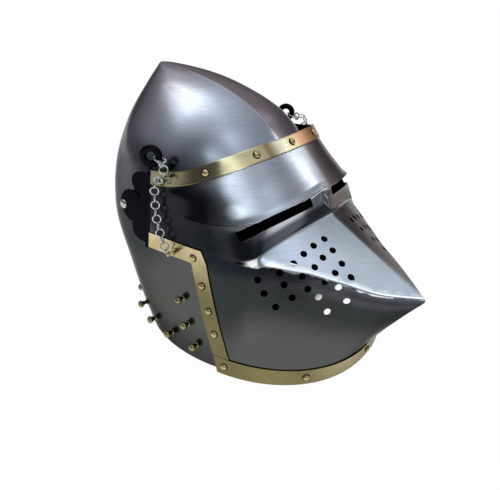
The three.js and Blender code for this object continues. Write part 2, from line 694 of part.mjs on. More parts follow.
// Chain: a link round the ring eye, then links along a route. Their rings lie by turns flat to the side
// and edge on. The route's points are distance out, back and up, as shares of the barrel's length.
const chainPlane = visorSide + chainOut;
const chainRouteShares = [
  [0.95, -0.297, 0.676], [0.98, -0.35, 0.64], [1, -0.357, 0.566], [1, -0.28, 0.5], [1, -0.22, 0.425],
  [1, -0.215, 0.185], [1, -0.22, 0.06], [1, -0.25, -0.08], [1, -0.29, -0.205], [1, -0.33, -0.305], [1, -0.39, -0.4],
];
const eyeLinkTilt = THREE.MathUtils.degToRad(22);
const chainLeave = THREE.MathUtils.degToRad(45);
const linkPitch = 2 * linkRadius - 2 * linkWire + linkBite;
const ringOf = (radius, wire, place, axis) => solidFrom(new THREE.TorusGeometry(radius, wire, 4, 8),
  standing(place, axis));
function chainLinks(side) {
  const outward = vector(0, -Math.cos(eyeLinkTilt), -Math.sin(eyeLinkTilt));
  const sideways = vector(side, 0, 0);
  const eyeLink = vector(side * hingeOut, ...eyeMiddle).addScaledVector(outward, eyeRadius + eyeLinkOut);
  const start = eyeLink.clone().addScaledVector(outward, eyeLinkRadius * Math.cos(chainLeave))
    .addScaledVector(sideways, eyeLinkRadius * Math.sin(chainLeave));
  const reach = chainPlane - Math.abs(start.x);
  const routeOut = (out) => side * (chainPlane - reach * (1 - out) * 4);
  const route = new THREE.CatmullRomCurve3([start, ...chainRouteShares.map(([out, back, up]) => (
    vector(routeOut(out), barrelBack + back * barrelSlant, barrelMiddle + up * barrelSlant)
  ))], false, 'centripetal');
  const length = route.getLength();
  const first = linkPitch - linkRadius;
  const count = Math.round((length - first) / linkPitch) + 1;
  const places = Array.from({ length: count }, (_, k) => (
    route.getPointAt(Math.min(1, (first + (k * (length - first)) / (count - 1)) / length))
  ));
  const rings = places.map((place, k) => {
    const before = places[k - 1] ?? start;
    const after = places[k + 1] ?? place;
    const way = after.clone().sub(before).normalize();
    const facing = sideways.clone().addScaledVector(way, -way.dot(sideways)).normalize();
    const axis = k % 2 === 0 ? facing : facing.clone().cross(way);
    return ringOf(linkRadius, linkWire, place, axis);
  });
  const eyeRing = ringOf(eyeLinkRadius, linkWire, eyeLink, outward.clone().cross(sideways));
  return { solid: joined([eyeRing, ...rings]), places };
}

// Staples: an eye that stands on the trim and holds one link
function staple(side, link, way, from, to) {
  const eye = link.clone().addScaledVector(way, stapleReach);
  const { point, normal } = visorFacet(onVisor(side, 'y', eye.y, eye.z, from, to));
  const stand = eye.clone().sub(point).dot(normal);
  const place = { point: eye.clone().addScaledVector(normal, -stand), normal };
  const foot = trimOuter + seatGap;
  const neck = stand - stapleRadius;
  const shank = pinThrough(place, [[rivetShank, foot], [2 * rivetShank, foot],
    [2 * rivetShank, foot + tailHeight], [rivetShank, foot + tailHeight], [rivetShank * 0.7, neck], [0, neck]]);
  const axis = vector(1, 0, 0).cross(way).normalize();
  return shank.add(solidFrom(new THREE.TorusGeometry(stapleRadius, stapleWire, 5, 12), standing(eye, axis)));
}

const topStapleWay = vector(0, -0.78, -0.62).normalize();
const lowStapleWay = vector(0, -0.95, 0.3).normalize();
const topStapleLinkIndex = 2;
const chains = bothSides.map(([, side]) => chainLinks(side));
bothSides.forEach(([label, side], k) => {
  const { places } = chains[k];
  trimPieces.push([`staple_top_${label}`, staple(side, places[topStapleLinkIndex], topStapleWay, row.top, row.bandFoot)]);
  trimPieces.push([`staple_low_${label}`, staple(side, places[places.length - 1], lowStapleWay, row.crease,
    row.bandHead)]);
});

// Visor and its brass
const lozengeShare = 0.745;
const lozengePlace = onVisor(1, 'x', 0, lozengeShare * visorHeight, row.lipUnder, row.crease);
const lozenge = turned([[0, -0.5], [1, -0.5], [1, 0.3], [0, 1]], 4, standing(lozengePlace.point, lozengePlace.normal)
  .multiply(new THREE.Matrix4().makeScale(lozengeHalfWidth, lozengeHalfHeight, lozengeRise)));
addPiece('visor', cutFrom(visorWall.add(lozenge), [behindVisor, ...sights, ...breathHoles, ...plateHoles]), steel);

const bandWall = (rows) => wallOf(visorSurface, acrossSteps, rows, seatGap, trimOuter, false);
addPiece('visor_top_band', cutFrom(bandWall([row.top, row.bandFoot]), [behindVisor, ...plateHoles]), brass);
addPiece('visor_bottom_band', cutFrom(bandWall([row.bandHead, row.rim]), [behindVisor, ...plateHoles]), brass);

const slantWidth = trimWidth * Math.hypot(1, stepSlope);
const stripFoot = rimBandHeight + 2 * seatGap;
const stripHead = stepHeight + trimWidth;
const sideStrip = (side) => sidePrism([
  [edgeBackAt(stepHeight), stepHeight],
  [stepBack, stepHeight],
  [slantAt(stripFoot), stripFoot],
  [slantAt(stripFoot) - slantWidth, stripFoot],
  [slantAt(stripHead) - slantWidth, stripHead],
  [edgeBackAt(stripHead), stripHead],
], ...bothX(side, 0, skullDepth));
bothSides.forEach(([label, side]) => {
  const steps = acrossSteps.filter((across) => across * side > 0.4);
  const rows = downSteps.filter((down) => down >= row.crease);
  const sheet = wallOf(visorSurface, steps, rows, seatGap, trimOuter, false);
  addPiece(`side_trim_${label}`, cutFrom(sheet.intersect(sideStrip(side)), plateHoles), brass);
});
trimPieces.forEach(([name, solid]) => addPiece(name, solid, brass));

// Hinges
bothSides.forEach(([label, side], k) => {
  addPiece(`pivot_leaf_${label}`, pivotLeaf(side), blackened);
  addPiece(`visor_leaf_${label}`, visorLeaf(side), blackened);
  addPiece(`hinge_pin_${label}`, hingePin(side), blackened);
  addPiece(`chain_${label}`, chains[k].solid, nickel);
});

// Pivots: a rivet with a dome outside and a flat head inside, and a washer that seats on the skull
const skullHoles = [];
const skullGuard = wallOf(skullSurface, ringAngles, ringRises, -washerRadius, seatGap, true);
bothSides.forEach(([label, side]) => {
  const outside = onSkull(1, pivotBack, pivotHeight).point.x;
  const inside = outside - steelGauge - 1.5 * runGap;
  const head = hubInner + leafGauge + seatGap;
  addPiece(`pivot_rivet_${label}`, turned([
    [0, inside - tailHeight], [pivotHead, inside - tailHeight], [pivotHead, inside], [pivotShank, inside],
    [pivotShank, head], ...domeOver(pivotHead, head),
  ], 16, pivotWay(side)), steel);
  const washer = turned([
    [pivotShank + seatGap, outside - steelGauge / 2], [washerRadius, outside - steelGauge / 2],
    [washerRadius, hubInner - seatGap], [pivotShank + seatGap, hubInner - seatGap],
    [pivotShank + seatGap, outside - steelGauge / 2],
  ], 20, pivotWay(side));
  addPiece(`pivot_washer_${label}`, washer.subtract(skullGuard), steel);
  skullHoles.push(rod(pivotShank + seatGap, vector(0, pivotBack, pivotHeight),
    vector(side * skullDepth, pivotBack, pivotHeight), 16));
});

// Vervelles: places are depth and height as shares of the skull's. The last one is at the back.
const vervePlaceShares = [[0.097, 0.229], [0.066, 0.131], [0.024, 0.057], [0.134, 0.057], [0.235, 0.057],
  [0.33, 0.057], [0.415, 0.057], [0.467, 0.057]];
const verveShares = [[0.32, 0], [0.32, 0.1], [0.17, 0.18], [0.17, 0.4], [0.25, 0.5], [0.14, 0.6], [0.28, 0.7],
  [0.27, 0.87], [0, 1]];
function addVervelle(name, smooth) {
  const place = skullFacet(smooth);
  const tail = -steelGauge - 2 * seatGap;
  const profile = [
    [0, tail - tailHeight], [tailShare * 2 * verveShank, tail - tailHeight], [tailShare * 2 * verveShank, tail],
    [verveShank, tail], [verveShank, seatGap],
    ...verveShares.map(([r, h]) => [r * verveLength, seatGap + h * verveLength]),
  ];
  addPiece(name, turned(profile, 7, standing(place.point, place.normal)), brass);
  skullHoles.push(rod(verveShank + seatGap, outFrom(place, -cutOverrun / 4), outFrom(place, cutOverrun / 4), 7));
}
bothSides.forEach(([label, side]) => vervePlaceShares.forEach(([y, z], k) => (
  addVervelle(`vervelle_${k + 1}_${label}`, onSkull(side, y * skullDepth, z * skullHeight))
)));
addVervelle('vervelle_back', onSkull(1, skullDepth, vervePlaceShares[2][1] * skullHeight));

// Skull with its face opening
const faceOpening = sidePrism([
  [-openingRim - (cutOverrun * (openingRim - openingCheek)) / openingCheekHeight, -cutOverrun],
  [-openingCheek, openingCheekHeight],
  [-openingTemple, openingTempleHeight],
  [-openingBrow, openingBrowHeight],
  [-skullDepth, openingBrowHeight + openingBrow],
  [-skullDepth, -cutOverrun],
], -skullDepth, skullDepth);
addPiece('skull', cutFrom(skullWall, [faceOpening, ...skullHoles]), steel);

// Origin: the middle of the whole in depth, on the rim plane
const whole = new THREE.Box3().setFromObject(helmet);
helmet.position.y = -(whole.min.y + whole.max.y) / 2;

export default part;
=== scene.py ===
"""Looks for the bascinet with a lifting snouted visor: polished steel shells, brass trim and studs,
blackened hinges and bright chains. Surfaces repeat the part's own formulas, in millimetres, and are
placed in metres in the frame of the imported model."""

import math

import bmesh
import bpy
import numpy as np
from mathutils import Matrix, Vector


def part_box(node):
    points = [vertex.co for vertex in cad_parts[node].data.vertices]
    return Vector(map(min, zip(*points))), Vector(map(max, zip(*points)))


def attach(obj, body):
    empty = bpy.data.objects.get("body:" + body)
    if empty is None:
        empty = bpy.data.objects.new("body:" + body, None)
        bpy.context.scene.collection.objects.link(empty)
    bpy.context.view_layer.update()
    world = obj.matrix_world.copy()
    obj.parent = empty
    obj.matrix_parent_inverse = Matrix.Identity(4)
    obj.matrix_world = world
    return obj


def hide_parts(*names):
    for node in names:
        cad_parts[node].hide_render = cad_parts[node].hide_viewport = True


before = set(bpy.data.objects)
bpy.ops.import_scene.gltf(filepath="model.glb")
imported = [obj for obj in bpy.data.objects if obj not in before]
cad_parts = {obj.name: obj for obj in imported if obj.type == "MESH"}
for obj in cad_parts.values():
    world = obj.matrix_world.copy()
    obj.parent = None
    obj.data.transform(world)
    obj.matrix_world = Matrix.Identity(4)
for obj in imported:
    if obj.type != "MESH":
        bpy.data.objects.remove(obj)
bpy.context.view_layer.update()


# ---- sizes, as in the part's source
MM = 0.001
STEEL_GAUGE, BRASS_GAUGE, SEAT_GAP, RUN_GAP = 1.2, 1.0, 0.3, 1.8
SKULL_HEIGHT, SKULL_DEPTH, SKULL_HALF_WIDTH, SKULL_KEEL = 245.0, 290.0, 111.0, 4.0
VISOR_HEIGHT, VISOR_BAND, SNOUT_REACH, SNOUT_HEIGHT = 199.0, 14.0, 168.0, 84.0
RIM_BAND, TRIM_WIDTH, VISOR_FLARE, RIM_FORWARD, RIM_SLOPE = 16.0, 15.5, 5.7, 3.0, 0.12
LIP_REACH, LIP_FADE, CHEEK_SWELL, CHEEK_PULL = 3.4, (0.5, 0.85), 4.0, 0.56
STEP_HEIGHT, STEP_BACK, REAR_FOOT = 100.0, 15.0, 23.0
BARREL_TOP, BARREL_FOOT, BARREL_BACK, BARREL_LEAN, BARREL_RADIUS = 173.5, 98.5, 65.5, 7.0, 3.0
PIN_RADIUS, EYE_RADIUS, EYE_BAR, EYE_NECK = 1.4, 7.0, 3.0, 6.0
LINK_RADIUS, LINK_WIRE, LINK_BITE = 3.7, 0.6, 0.45
EYE_LINK_RADIUS, EYE_LINK_OUT, CHAIN_OUT = 6.0, 1.6, 6.0
RIVET_HEAD, BREATH_RADIUS = 3.3, 3.2
PAST = 20.0  # how far a cutter, or a row of the visor, runs past what is kept

SKULL_SIDE = SKULL_HALF_WIDTH * 0.916
LEAF_INNER = SKULL_SIDE + RUN_GAP
HINGE_OUT = LEAF_INNER + BARREL_RADIUS
VISOR_SIDE = HINGE_OUT + RUN_GAP
BARREL_MIDDLE = (BARREL_TOP + BARREL_FOOT) / 2
BARREL_LENGTH = BARREL_TOP - BARREL_FOOT
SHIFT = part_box("visor")[0].y / MM + SNOUT_REACH
SIDES = (("R", -1), ("L", 1))


def new_object(name, data):
    thing = bpy.data.objects.new(name, data)
    bpy.context.scene.collection.objects.link(thing)
    return thing


# ---- camera, fitted to the photo's outlines
PLACE = (-426.3, -272.7, 346.2)
RIGHT = Vector((0.5928, -0.8041, 0.0450))
UP = Vector((0.3517, 0.3087, 0.8837))
AHEAD = Vector((0.7245, 0.5081, -0.4658))
LENS, SENSOR = 39.6, 36.0


def place_camera():
    data = bpy.data.cameras.new("photo_camera")
    data.lens, data.sensor_width, data.clip_start = LENS, SENSOR, 0.01
    camera = new_object("photo_camera", data)
    turn = Matrix((RIGHT, UP, -AHEAD)).transposed().to_4x4()
    place = Vector((PLACE[0], PLACE[1] + SHIFT, PLACE[2])) * MM
    camera.matrix_world = Matrix.Translation(place) @ turn
    bpy.context.scene.camera = camera


place_camera()


# ---- surfaces
def power(value, exponent):
    return np.sign(value) * np.abs(value) ** exponent


def smoothstep(value, low, high):
    t = np.clip((value - low) / (high - low), 0, 1)
    return t * t * (3 - 2 * t)


def row_between(table, place):
    """A row of a table at a place from 0 to 1, on a smooth curve through its rows."""
    table = np.asarray(table, float)
    last = len(table) - 1
    at = np.clip(place, 0, 1) * last
    k = np.minimum(np.floor(at).astype(int), last - 1)
    t = (at - k)[..., None]
    a, b = table[np.clip(k - 1, 0, last)], table[k]
    d, e = table[np.clip(k + 1, 0, last)], table[np.clip(k + 2, 0, last)]
    slope_in, slope_out = (d - a) / 2, (e - b) / 2
    t2, t3 = t * t, t * t * t
    ends = (2 * t3 - 3 * t2 + 1) * b + (3 * t2 - 2 * t3) * d
    return ends + (t3 - 2 * t2 + t) * slope_in + (t3 - t2) * slope_out


# Front and back points as shares of depth and height, width share and squareness, from the rim to the apex
SKULL_RINGS = [
    [-0.386, 0, 0.456, 0, 1, 2.05], [-0.338, 0.102, 0.512, 0.102, 0.97, 2.1],
    [-0.269, 0.245, 0.553, 0.245, 0.936, 2.3], [-0.193, 0.408, 0.592, 0.4, 0.915, 2.5],
    [-0.128, 0.543, 0.594, 0.522, 0.901, 2.5], [-0.069, 0.665, 0.583, 0.653, 0.863, 2.4],
    [0.007, 0.784, 0.554, 0.765, 0.766, 2.44], [0.09, 0.869, 0.532, 0.861, 0.598, 2.5],
    [0.207, 0.935, 0.512, 0.958, 0.385, 2.08], [0.345, 0.976, 0.517, 0.994, 0.172, 1.7],
    [0.51, 1, 0.51, 1, 0, 2],
]
KEEL_ANGLE, BACK_KEEL = 0.45, 0.4


def skull_point(angle, rise):
    angle, rise = np.broadcast_arrays(np.asarray(angle, float), np.asarray(rise, float))
    sizes = [SKULL_DEPTH, SKULL_HEIGHT, SKULL_DEPTH, SKULL_HEIGHT, 1, 1]
    fy, fz, by, bz, width, square = np.moveaxis(row_between(SKULL_RINGS, rise) * sizes, -1, 0)
    my, mz, ry, rz = (fy + by) / 2, (fz + bz) / 2, (fy - by) / 2, (fz - bz) / 2
    along = power(np.cos(angle), 2 / square)
    x = power(np.sin(angle), 2 / square) * width * SKULL_HALF_WIDTH
    turn = np.abs(np.arctan2(np.sin(angle), np.cos(angle)))
    ridge = np.maximum(0, 1 - turn / KEEL_ANGLE) ** 2
    ridge = ridge - BACK_KEEL * np.maximum(0, 1 - (math.pi - turn) / KEEL_ANGLE) ** 2
    keel = SKULL_KEEL * ridge * np.sin(math.pi * np.minimum(rise, 1))
    length = np.hypot(ry, rz)
    keel = np.where(length > SKULL_KEEL, keel / np.maximum(length, 1e-6), 0)
    return np.stack([x, my + ry * (along + keel), mz + rz * (along + keel)], -1)


def centripetal(points, count):
    """The curve through the points that the part's free rows follow."""
    p = np.asarray(points, float)
    last = len(p) - 1
    out = []
    for i in range(count + 1):
        at = last * i / count
        k = min(int(at), last - 1)
        t = at - k
        p1, p2 = p[k], p[k + 1]
        p0 = p[k - 1] if k > 0 else 2 * p[0] - p[1]
        p3 = p[k + 2] if k + 2 <= last else 2 * p[-1] - p[-2]
        d0, d1, d2 = (((b - a) @ (b - a)) ** 0.25 for a, b in ((p0, p1), (p1, p2), (p2, p3)))
        t1 = ((p1 - p0) / d0 - (p2 - p0) / (d0 + d1) + (p2 - p1) / d1) * d1
        t2 = ((p2 - p1) / d1 - (p3 - p1) / (d1 + d2) + (p3 - p2) / d2) * d1
        square, cube = -3 * p1 + 3 * p2 - 2 * t1 - t2, 2 * p1 - 2 * p2 + t1 + t2
        out.append(p1 + t1 * t + square * t * t + cube * t ** 3)
    return np.array(out)


ROW_SAMPLES = 400


def oval_row(front, height, side_height, square, fall, half_width, middle):
    turn = np.linspace(0, math.pi / 2, ROW_SAMPLES + 1)
    x = half_width * power(np.sin(turn), 2 / square)
    y = middle - (middle - front) * power(np.cos(turn), 2 / square)
    z = side_height + (height - side_height) * (1 - (x / half_width) ** fall)
    return np.vstack([np.stack([x, y, z], -1), [half_width, max(middle, BARREL_BACK) + PAST, side_height]])


TOP, BAND_FOOT, BROW, LIP_ROOT, LIP, LIP_UNDER, CREASE, RIDGE, BAND_HEAD, RIM = range(10)
TOP_EDGE, BROW_AT, ROOT_AT, UNDER_AT = (-0.056, 1), (-0.196, 0.882), (-0.283, 0.812), (-0.304, 0.787)
NOSE_AT, RIM_FRONT = (-0.381, 0.688), -0.708
SIDE = {"top": 0.893, "brow": 0.8, "root": 0.725, "under": 0.695, "nose": 0.62, "ridge": 0.45}
RIM_MIDDLE = SKULL_DEPTH * (SKULL_RINGS[0][0] + SKULL_RINGS[0][2]) / 2 - RIM_FORWARD


def profile_row(shares, side, square, fall):
    front, height = shares[0] * SNOUT_REACH, shares[1] * VISOR_HEIGHT
    return oval_row(front, height, side * VISOR_HEIGHT, square, fall, VISOR_SIDE, BARREL_BACK)


def rim_row(height):
    lean = height * RIM_SLOPE
    front, half_width = RIM_FRONT * SNOUT_REACH - lean, VISOR_SIDE + VISOR_FLARE - lean
    return oval_row(front, height, height, 2.25, 1, half_width, RIM_MIDDLE)


def face_row(shares):
    return [[x * VISOR_SIDE, y * SNOUT_REACH, z * VISOR_HEIGHT] for x, y, z in shares]


CREASE_ROW = [[0, *NOSE_AT], [0.257, -0.346, 0.668], [0.498, -0.306, 0.643], [0.692, -0.277, 0.616],
              [0.84, -0.25, 0.592], [0.9, -0.2, 0.58], [0.965, 0, 0.6], [1, 0.4, SIDE["nose"]]]
RIDGE_ROW = [[0.27, -0.79, 0.452], [0.43, -0.61, 0.496], [0.565, -0.478, 0.532], [0.85, -0.235, 0.562],
             [0.95, 0, 0.52], [1, 0.4, SIDE["ridge"]]]
LIP_AT = [(a + b) / 2 for a, b in zip(ROOT_AT, UNDER_AT)]
BAND_FOOT_AT = (TOP_EDGE[0] - 0.71 * VISOR_BAND / SNOUT_REACH, TOP_EDGE[1] - 0.7 * VISOR_BAND / VISOR_HEIGHT)
ROWS = [
    profile_row(TOP_EDGE, SIDE["top"], 2.3, 3),
    profile_row(BAND_FOOT_AT, SIDE["top"] - VISOR_BAND / VISOR_HEIGHT, 2.35, 3),
    profile_row(BROW_AT, SIDE["brow"], 2.6, 1.9),
    profile_row(ROOT_AT, SIDE["root"], 3.2, 1.5),
    profile_row(LIP_AT, (SIDE["root"] + SIDE["under"]) / 2, 3.3, 1.4),
    profile_row(UNDER_AT, SIDE["under"], 3.4, 1.3),
    centripetal(face_row(CREASE_ROW), ROW_SAMPLES),
    centripetal([[0, -SNOUT_REACH, SNOUT_HEIGHT], *face_row(RIDGE_ROW)], ROW_SAMPLES),
    rim_row(RIM_BAND),
    rim_row(0),
]
ROW_ANGLES = [np.maximum.accumulate(np.arctan2(r[:, 0], BARREL_BACK - r[:, 1])) for r in ROWS]


def row_point(k, angle):
    place = np.stack([np.interp(angle, ROW_ANGLES[k], ROWS[k][:, i]) for i in range(3)], -1)
    if k == LIP:
        reach = LIP_REACH * (1 - smoothstep(angle / (math.pi / 2), *LIP_FADE))
        place[..., 0] += reach * np.sin(angle)
        place[..., 1] -= reach * np.cos(angle)
    return place


def visor_point(across, down):
    """The visor's outer surface: across from -1 to 1, and down from row to row."""
    across = np.atleast_1d(np.asarray(across, float))
    angle = np.abs(across) * math.pi / 2
    k = min(int(down), len(ROWS) - 2)
    t = down - k
    upper, lower = row_point(k, angle), row_point(k + 1, angle)
    place = upper + (lower - upper) * t
    if k == RIDGE:
        swell = CHEEK_SWELL * np.sin(np.minimum(angle * 2, math.pi))
        pull = upper + (lower - upper) * CHEEK_PULL
        pull[..., 0] += swell * np.sin(angle)
        pull[..., 1] -= swell * np.cos(angle)
        pull[..., 2] = (upper[..., 2] + lower[..., 2]) / 2
        place = upper * (1 - t) ** 2 + pull * 2 * t * (1 - t) + lower * t * t
    place[..., 0] *= np.where(across < 0, -1, 1)
    return place


SMALL_STEP, HALVINGS = 0.004, 24


def unit(vector):
    return vector / np.linalg.norm(vector)


def halved(low, high, beyond):
    """The place between two others from which on something holds."""
    for _ in range(HALVINGS):
        middle = (low + high) / 2
        if beyond(middle):
            high = middle
        else:
            low = middle
    return middle


def on_visor(side, axis, value, height, start, end):
    """The place on the visor at a height, between two rows, where X or Y has a wanted value."""
    def down_at(across):
        return start if start == end else halved(start, end, lambda k: visor_point(across, k)[0, 2] <= height)

    across = halved(0.0, 1.0, lambda place: visor_point(place, down_at(place))[0, axis] >= value)
    down = down_at(across)
    across *= side
    above = visor_point(across, max(0, down - SMALL_STEP * RIM))[0]
    below = visor_point(across, min(RIM, down + SMALL_STEP * RIM))[0]
    right, left = visor_point(across + SMALL_STEP, down)[0], visor_point(across - SMALL_STEP, down)[0]
    return visor_point(across, down)[0], unit(np.cross(right - left, above - below))


def on_skull(side, y, z):
    """The place on the skull's side at a depth and a height."""
    def angle_at(rise):
        return halved(0.0, math.pi, lambda angle: skull_point(angle, rise)[1] >= y)

    rise = halved(0.0, 1.0, lambda place: skull_point(angle_at(place), place)[2] >= z)
    angle = side * angle_at(rise)
    around = skull_point(angle + SMALL_STEP, rise) - skull_point(angle - SMALL_STEP, rise)
    upward = skull_point(angle, rise + SMALL_STEP) - skull_point(angle, max(0, rise - SMALL_STEP))
    return skull_point(angle, rise), unit(np.cross(around, upward))


# ---- meshes
def in_row(points):
    return (np.asarray(points, float) + [0, SHIFT, 0]) * MM


def mesh_object(name, points, faces):
    """A closed mesh with its double points merged and every face turned outwards."""
    mesh = bpy.data.meshes.new(name)
    mesh.from_pydata(in_row(points).tolist(), [], [list(map(int, f)) for f in faces])
    mesh.validate()
    work = bmesh.new()
    work.from_mesh(mesh)
    bmesh.ops.remove_doubles(work, verts=work.verts, dist=1e-7)
    bmesh.ops.recalc_face_normals(work, faces=work.faces)
    if work.calc_volume(signed=True) < 0:
        bmesh.ops.reverse_faces(work, faces=work.faces)
    work.to_mesh(mesh)
    work.free()
    return new_object(name, mesh)


def grid_normals(grid, heart, closed=False):
    """The directions at right angles to a grid of points, away from a place inside it."""
    around = np.roll(grid, -1, 1) - np.roll(grid, 1, 1) if closed else np.gradient(grid, axis=1)
    normal = np.cross(around, -np.gradient(grid, axis=0))
    normal /= np.maximum(np.linalg.norm(normal, axis=-1, keepdims=True), 1e-9)
    return normal * np.sign(np.sum(normal * (grid - heart), -1).mean())


def shell_faces(rows, columns, closed):
    layer = rows * columns
    last = columns if closed else columns - 1
    r, k = np.meshgrid(np.arange(rows - 1), np.arange(last), indexing="ij")
    n = (k + 1) % columns
    a, b, c, d = r * columns + k, r * columns + n, (r + 1) * columns + n, (r + 1) * columns + k
    faces = np.stack([a, d, c, b], -1).reshape(-1, 4).tolist()
    faces += np.stack([layer + a, layer + b, layer + c, layer + d], -1).reshape(-1, 4).tolist()
    foot = (rows - 1) * columns
    for k in range(last):
        n = (k + 1) % columns
        faces.append([k, n, layer + n, layer + k])
        faces.append([foot + n, foot + k, layer + foot + k, layer + foot + n])
    for r in range(0 if closed else rows - 1):
        a, b = r * columns, (r + 1) * columns
        c, d = a + columns - 1, b + columns - 1
        faces += [[b, a, layer + a, layer + b], [c, d, layer + d, layer + c]]
    return faces


def shell(name, outer, inner, closed=False):
    """A closed wall between two grids of points."""
    points = np.vstack([outer.reshape(-1, 3), inner.reshape(-1, 3)])
    return mesh_object(name, points, shell_faces(outer.shape[0], outer.shape[1], closed))


def applied(thing):
    """The object with its modifiers made part of its mesh."""
    bpy.context.view_layer.update()
    graph = bpy.context.evaluated_depsgraph_get()
    mesh = bpy.data.meshes.new_from_object(thing.evaluated_get(graph))
    thing.modifiers.clear()
    old = thing.data
    thing.data = mesh
    bpy.data.meshes.remove(old)
    return thing


def carve(thing, cutters):
    for cutter in cutters:
        cut = thing.modifiers.new("cut", "BOOLEAN")
        cut.operation, cut.solver, cut.object = "DIFFERENCE", "MANIFOLD", cutter
        applied(thing)
        bpy.data.objects.remove(cutter)
    return thing


def prism(name, outline, axis, low, high):
    """A straight prism along X or Y. The outline is in (y, z) or (x, z)."""
    n = len(outline)
    points = [[at, u, z] if axis == 0 else [u, at, z] for at in (low, high) for u, z in outline]
    faces = [list(range(n)), list(range(n, 2 * n))]
    faces += [[i, (i + 1) % n, n + (i + 1) % n, n + i] for i in range(n)]
    return mesh_object(name, points, faces)


def frame_on(normal):
    """Three directions at right angles, the last along the normal."""
    normal = unit(np.asarray(normal, float))
    aside = np.cross([0, 0, 1.0], normal)
    aside = unit(aside) if np.linalg.norm(aside) > 1e-6 else np.array([1.0, 0, 0])
    return aside, np.cross(normal, aside), normal


def lathe_points(profile, point, normal, sides):
    """The rings of a turned solid, each with as many points as sides."""
    aside, upward, out = frame_on(normal)
    turns = [2 * math.pi * k / sides for k in range(sides)]
    return [np.asarray(point) + aside * r * math.cos(t) + upward * r * math.sin(t) + out * h
            for r, h in profile for t in turns]


def lathe_faces(rows, sides, start=0, capped=True):
    faces = [[start + (rows - 1) * sides + k for k in range(sides)], [start + k for k in range(sides)][::-1]]
    faces = faces if capped else []
    for a in range(start, start + (rows - 1) * sides, sides):
        for k in range(sides):
            n = (k + 1) % sides
            faces.append([a + k, a + n, a + sides + n, a + sides + k])
    return faces


def turned(name, items):
    """Turned solids in one mesh. Each item is a profile of (radius, height), a place, an axis and a number of
    sides. A profile that comes back to its start is a ring."""
    points, faces = [], []
    for profile, point, normal, sides in items:
        faces += lathe_faces(len(profile), sides, len(points), capped=profile[0] != profile[-1])
        points += lathe_points(profile, point, normal, sides)
    return mesh_object(name, points, faces)


def soften(thing, degrees):
    thing.data.shade_smooth()
    thing.data.set_sharp_from_angle(angle=math.radians(degrees))


def finished(thing, material, body, *nodes, slot=None, degrees=38):
    """Shading, finish and body of a piece, and the solids it stands for."""
    thing.data.materials.clear()
    thing.data.materials.append(material)
    for polygon in thing.data.polygons:
        polygon.material_index = 0
    soften(thing, degrees)
    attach(thing, body)
    if nodes:
        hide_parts(*nodes)
    return thing


# ---- nodes
def plug(tree, socket, value):
    """Sets a socket, or links it where the value is another node's socket."""
    if isinstance(value, bpy.types.NodeSocket):
        tree.links.new(value, socket)
    else:
        socket.default_value = value


def wired(tree, kind, values, **settings):
    """A new node with its settings, and with its inputs filled by name or number."""
    node = tree.nodes.new(kind)
    for label, value in settings.items():
        setattr(node, label, value)
    for label, value in values.items():
        plug(tree, node.inputs[label], value)
    return node


def math_node(tree, operation, *values):
    return wired(tree, "ShaderNodeMath", dict(enumerate(values)), operation=operation).outputs[0]


def vector_node(tree, operation, *values, output="Vector"):
    return wired(tree, "ShaderNodeVectorMath", dict(enumerate(values)), operation=operation).outputs[output]


def scaled(tree, vector, scale):
    values = {0: vector, "Scale": scale}
    return wired(tree, "ShaderNodeVectorMath", values, operation="SCALE").outputs["Vector"]


def noise_node(tree, vector, scale, detail, roughness):
    values = {"Vector": vector, "Scale": scale, "Detail": detail, "Roughness": roughness}
    return wired(tree, "ShaderNodeTexNoise", values).outputs["Fac"]


def spread(tree, value, low, high, to_low=0.0, to_high=1.0, ease="LINEAR"):
    values = {"Value": value, "From Min": low, "From Max": high, "To Min": to_low, "To Max": to_high}
    return wired(tree, "ShaderNodeMapRange", values, interpolation_type=ease).outputs["Result"]


def mapped(tree, vector, label, value):
    return wired(tree, "ShaderNodeMapping", {"Vector": vector, label: value}).outputs["Vector"]


def mixed(tree, factor, a, b):
    return wired(tree, "ShaderNodeMix", {0: factor, 6: a, 7: b}, data_type="RGBA").outputs[2]


def own_place(tree):
    return tree.nodes.new("ShaderNodeTexCoord").outputs["Object"]


def attribute(tree, name):
    return wired(tree, "ShaderNodeAttribute", {}, attribute_name=name).outputs["Fac"]


def wobbled(tree, value, amount, *noise):
    """A value moved up and down by a soft noise."""
    wobble = spread(tree, noise_node(tree, own_place(tree), *noise), 0.3, 0.7, -amount, amount)
    return math_node(tree, "ADD", value, wobble)


# ---- shader groups
def new_group(name, inputs, outputs):
    """A group whose inputs have usual values and whose outputs are plain values."""
    group = bpy.data.node_groups.new(name, "ShaderNodeTree")
    for label, value in inputs.items():
        kind = "NodeSocketVector" if isinstance(value, tuple) else "NodeSocketFloat"
        group.interface.new_socket(name=label, in_out="INPUT", socket_type=kind).default_value = value
    for label in outputs:
        group.interface.new_socket(name=label, in_out="OUTPUT", socket_type="NodeSocketFloat")
    return group, group.nodes.new("NodeGroupInput").outputs, group.nodes.new("NodeGroupOutput").inputs


LINE_SCALE, CROSS_SCALE, TINT_SCALE, LINE_SHARE = (60, 60, 900), (700, 120, 160), (0.7, 1.3, 0.9), 0.7


def grain_group():
    """Fine polishing lines and soft smudges: a height for bump and a change of roughness."""
    group, inward, outward = new_group("polishing_grain", {"Fineness": 1.0, "Smudge size": 30.0},
                                       ["Height", "Smudge"])
    place = own_place(group)
    lines = noise_node(group, mapped(group, place, "Scale", LINE_SCALE), inward["Fineness"], 4.0, 0.6)
    cross = noise_node(group, mapped(group, place, "Scale", CROSS_SCALE), inward["Fineness"], 3.0, 0.6)
    lines = math_node(group, "MULTIPLY", lines, LINE_SHARE)
    cross = math_node(group, "MULTIPLY", cross, 1 - LINE_SHARE)
    plug(group, outward["Height"], math_node(group, "ADD", lines, cross))
    plug(group, outward["Smudge"], noise_node(group, place, inward["Smudge size"], 4.0, 0.55))
    return group


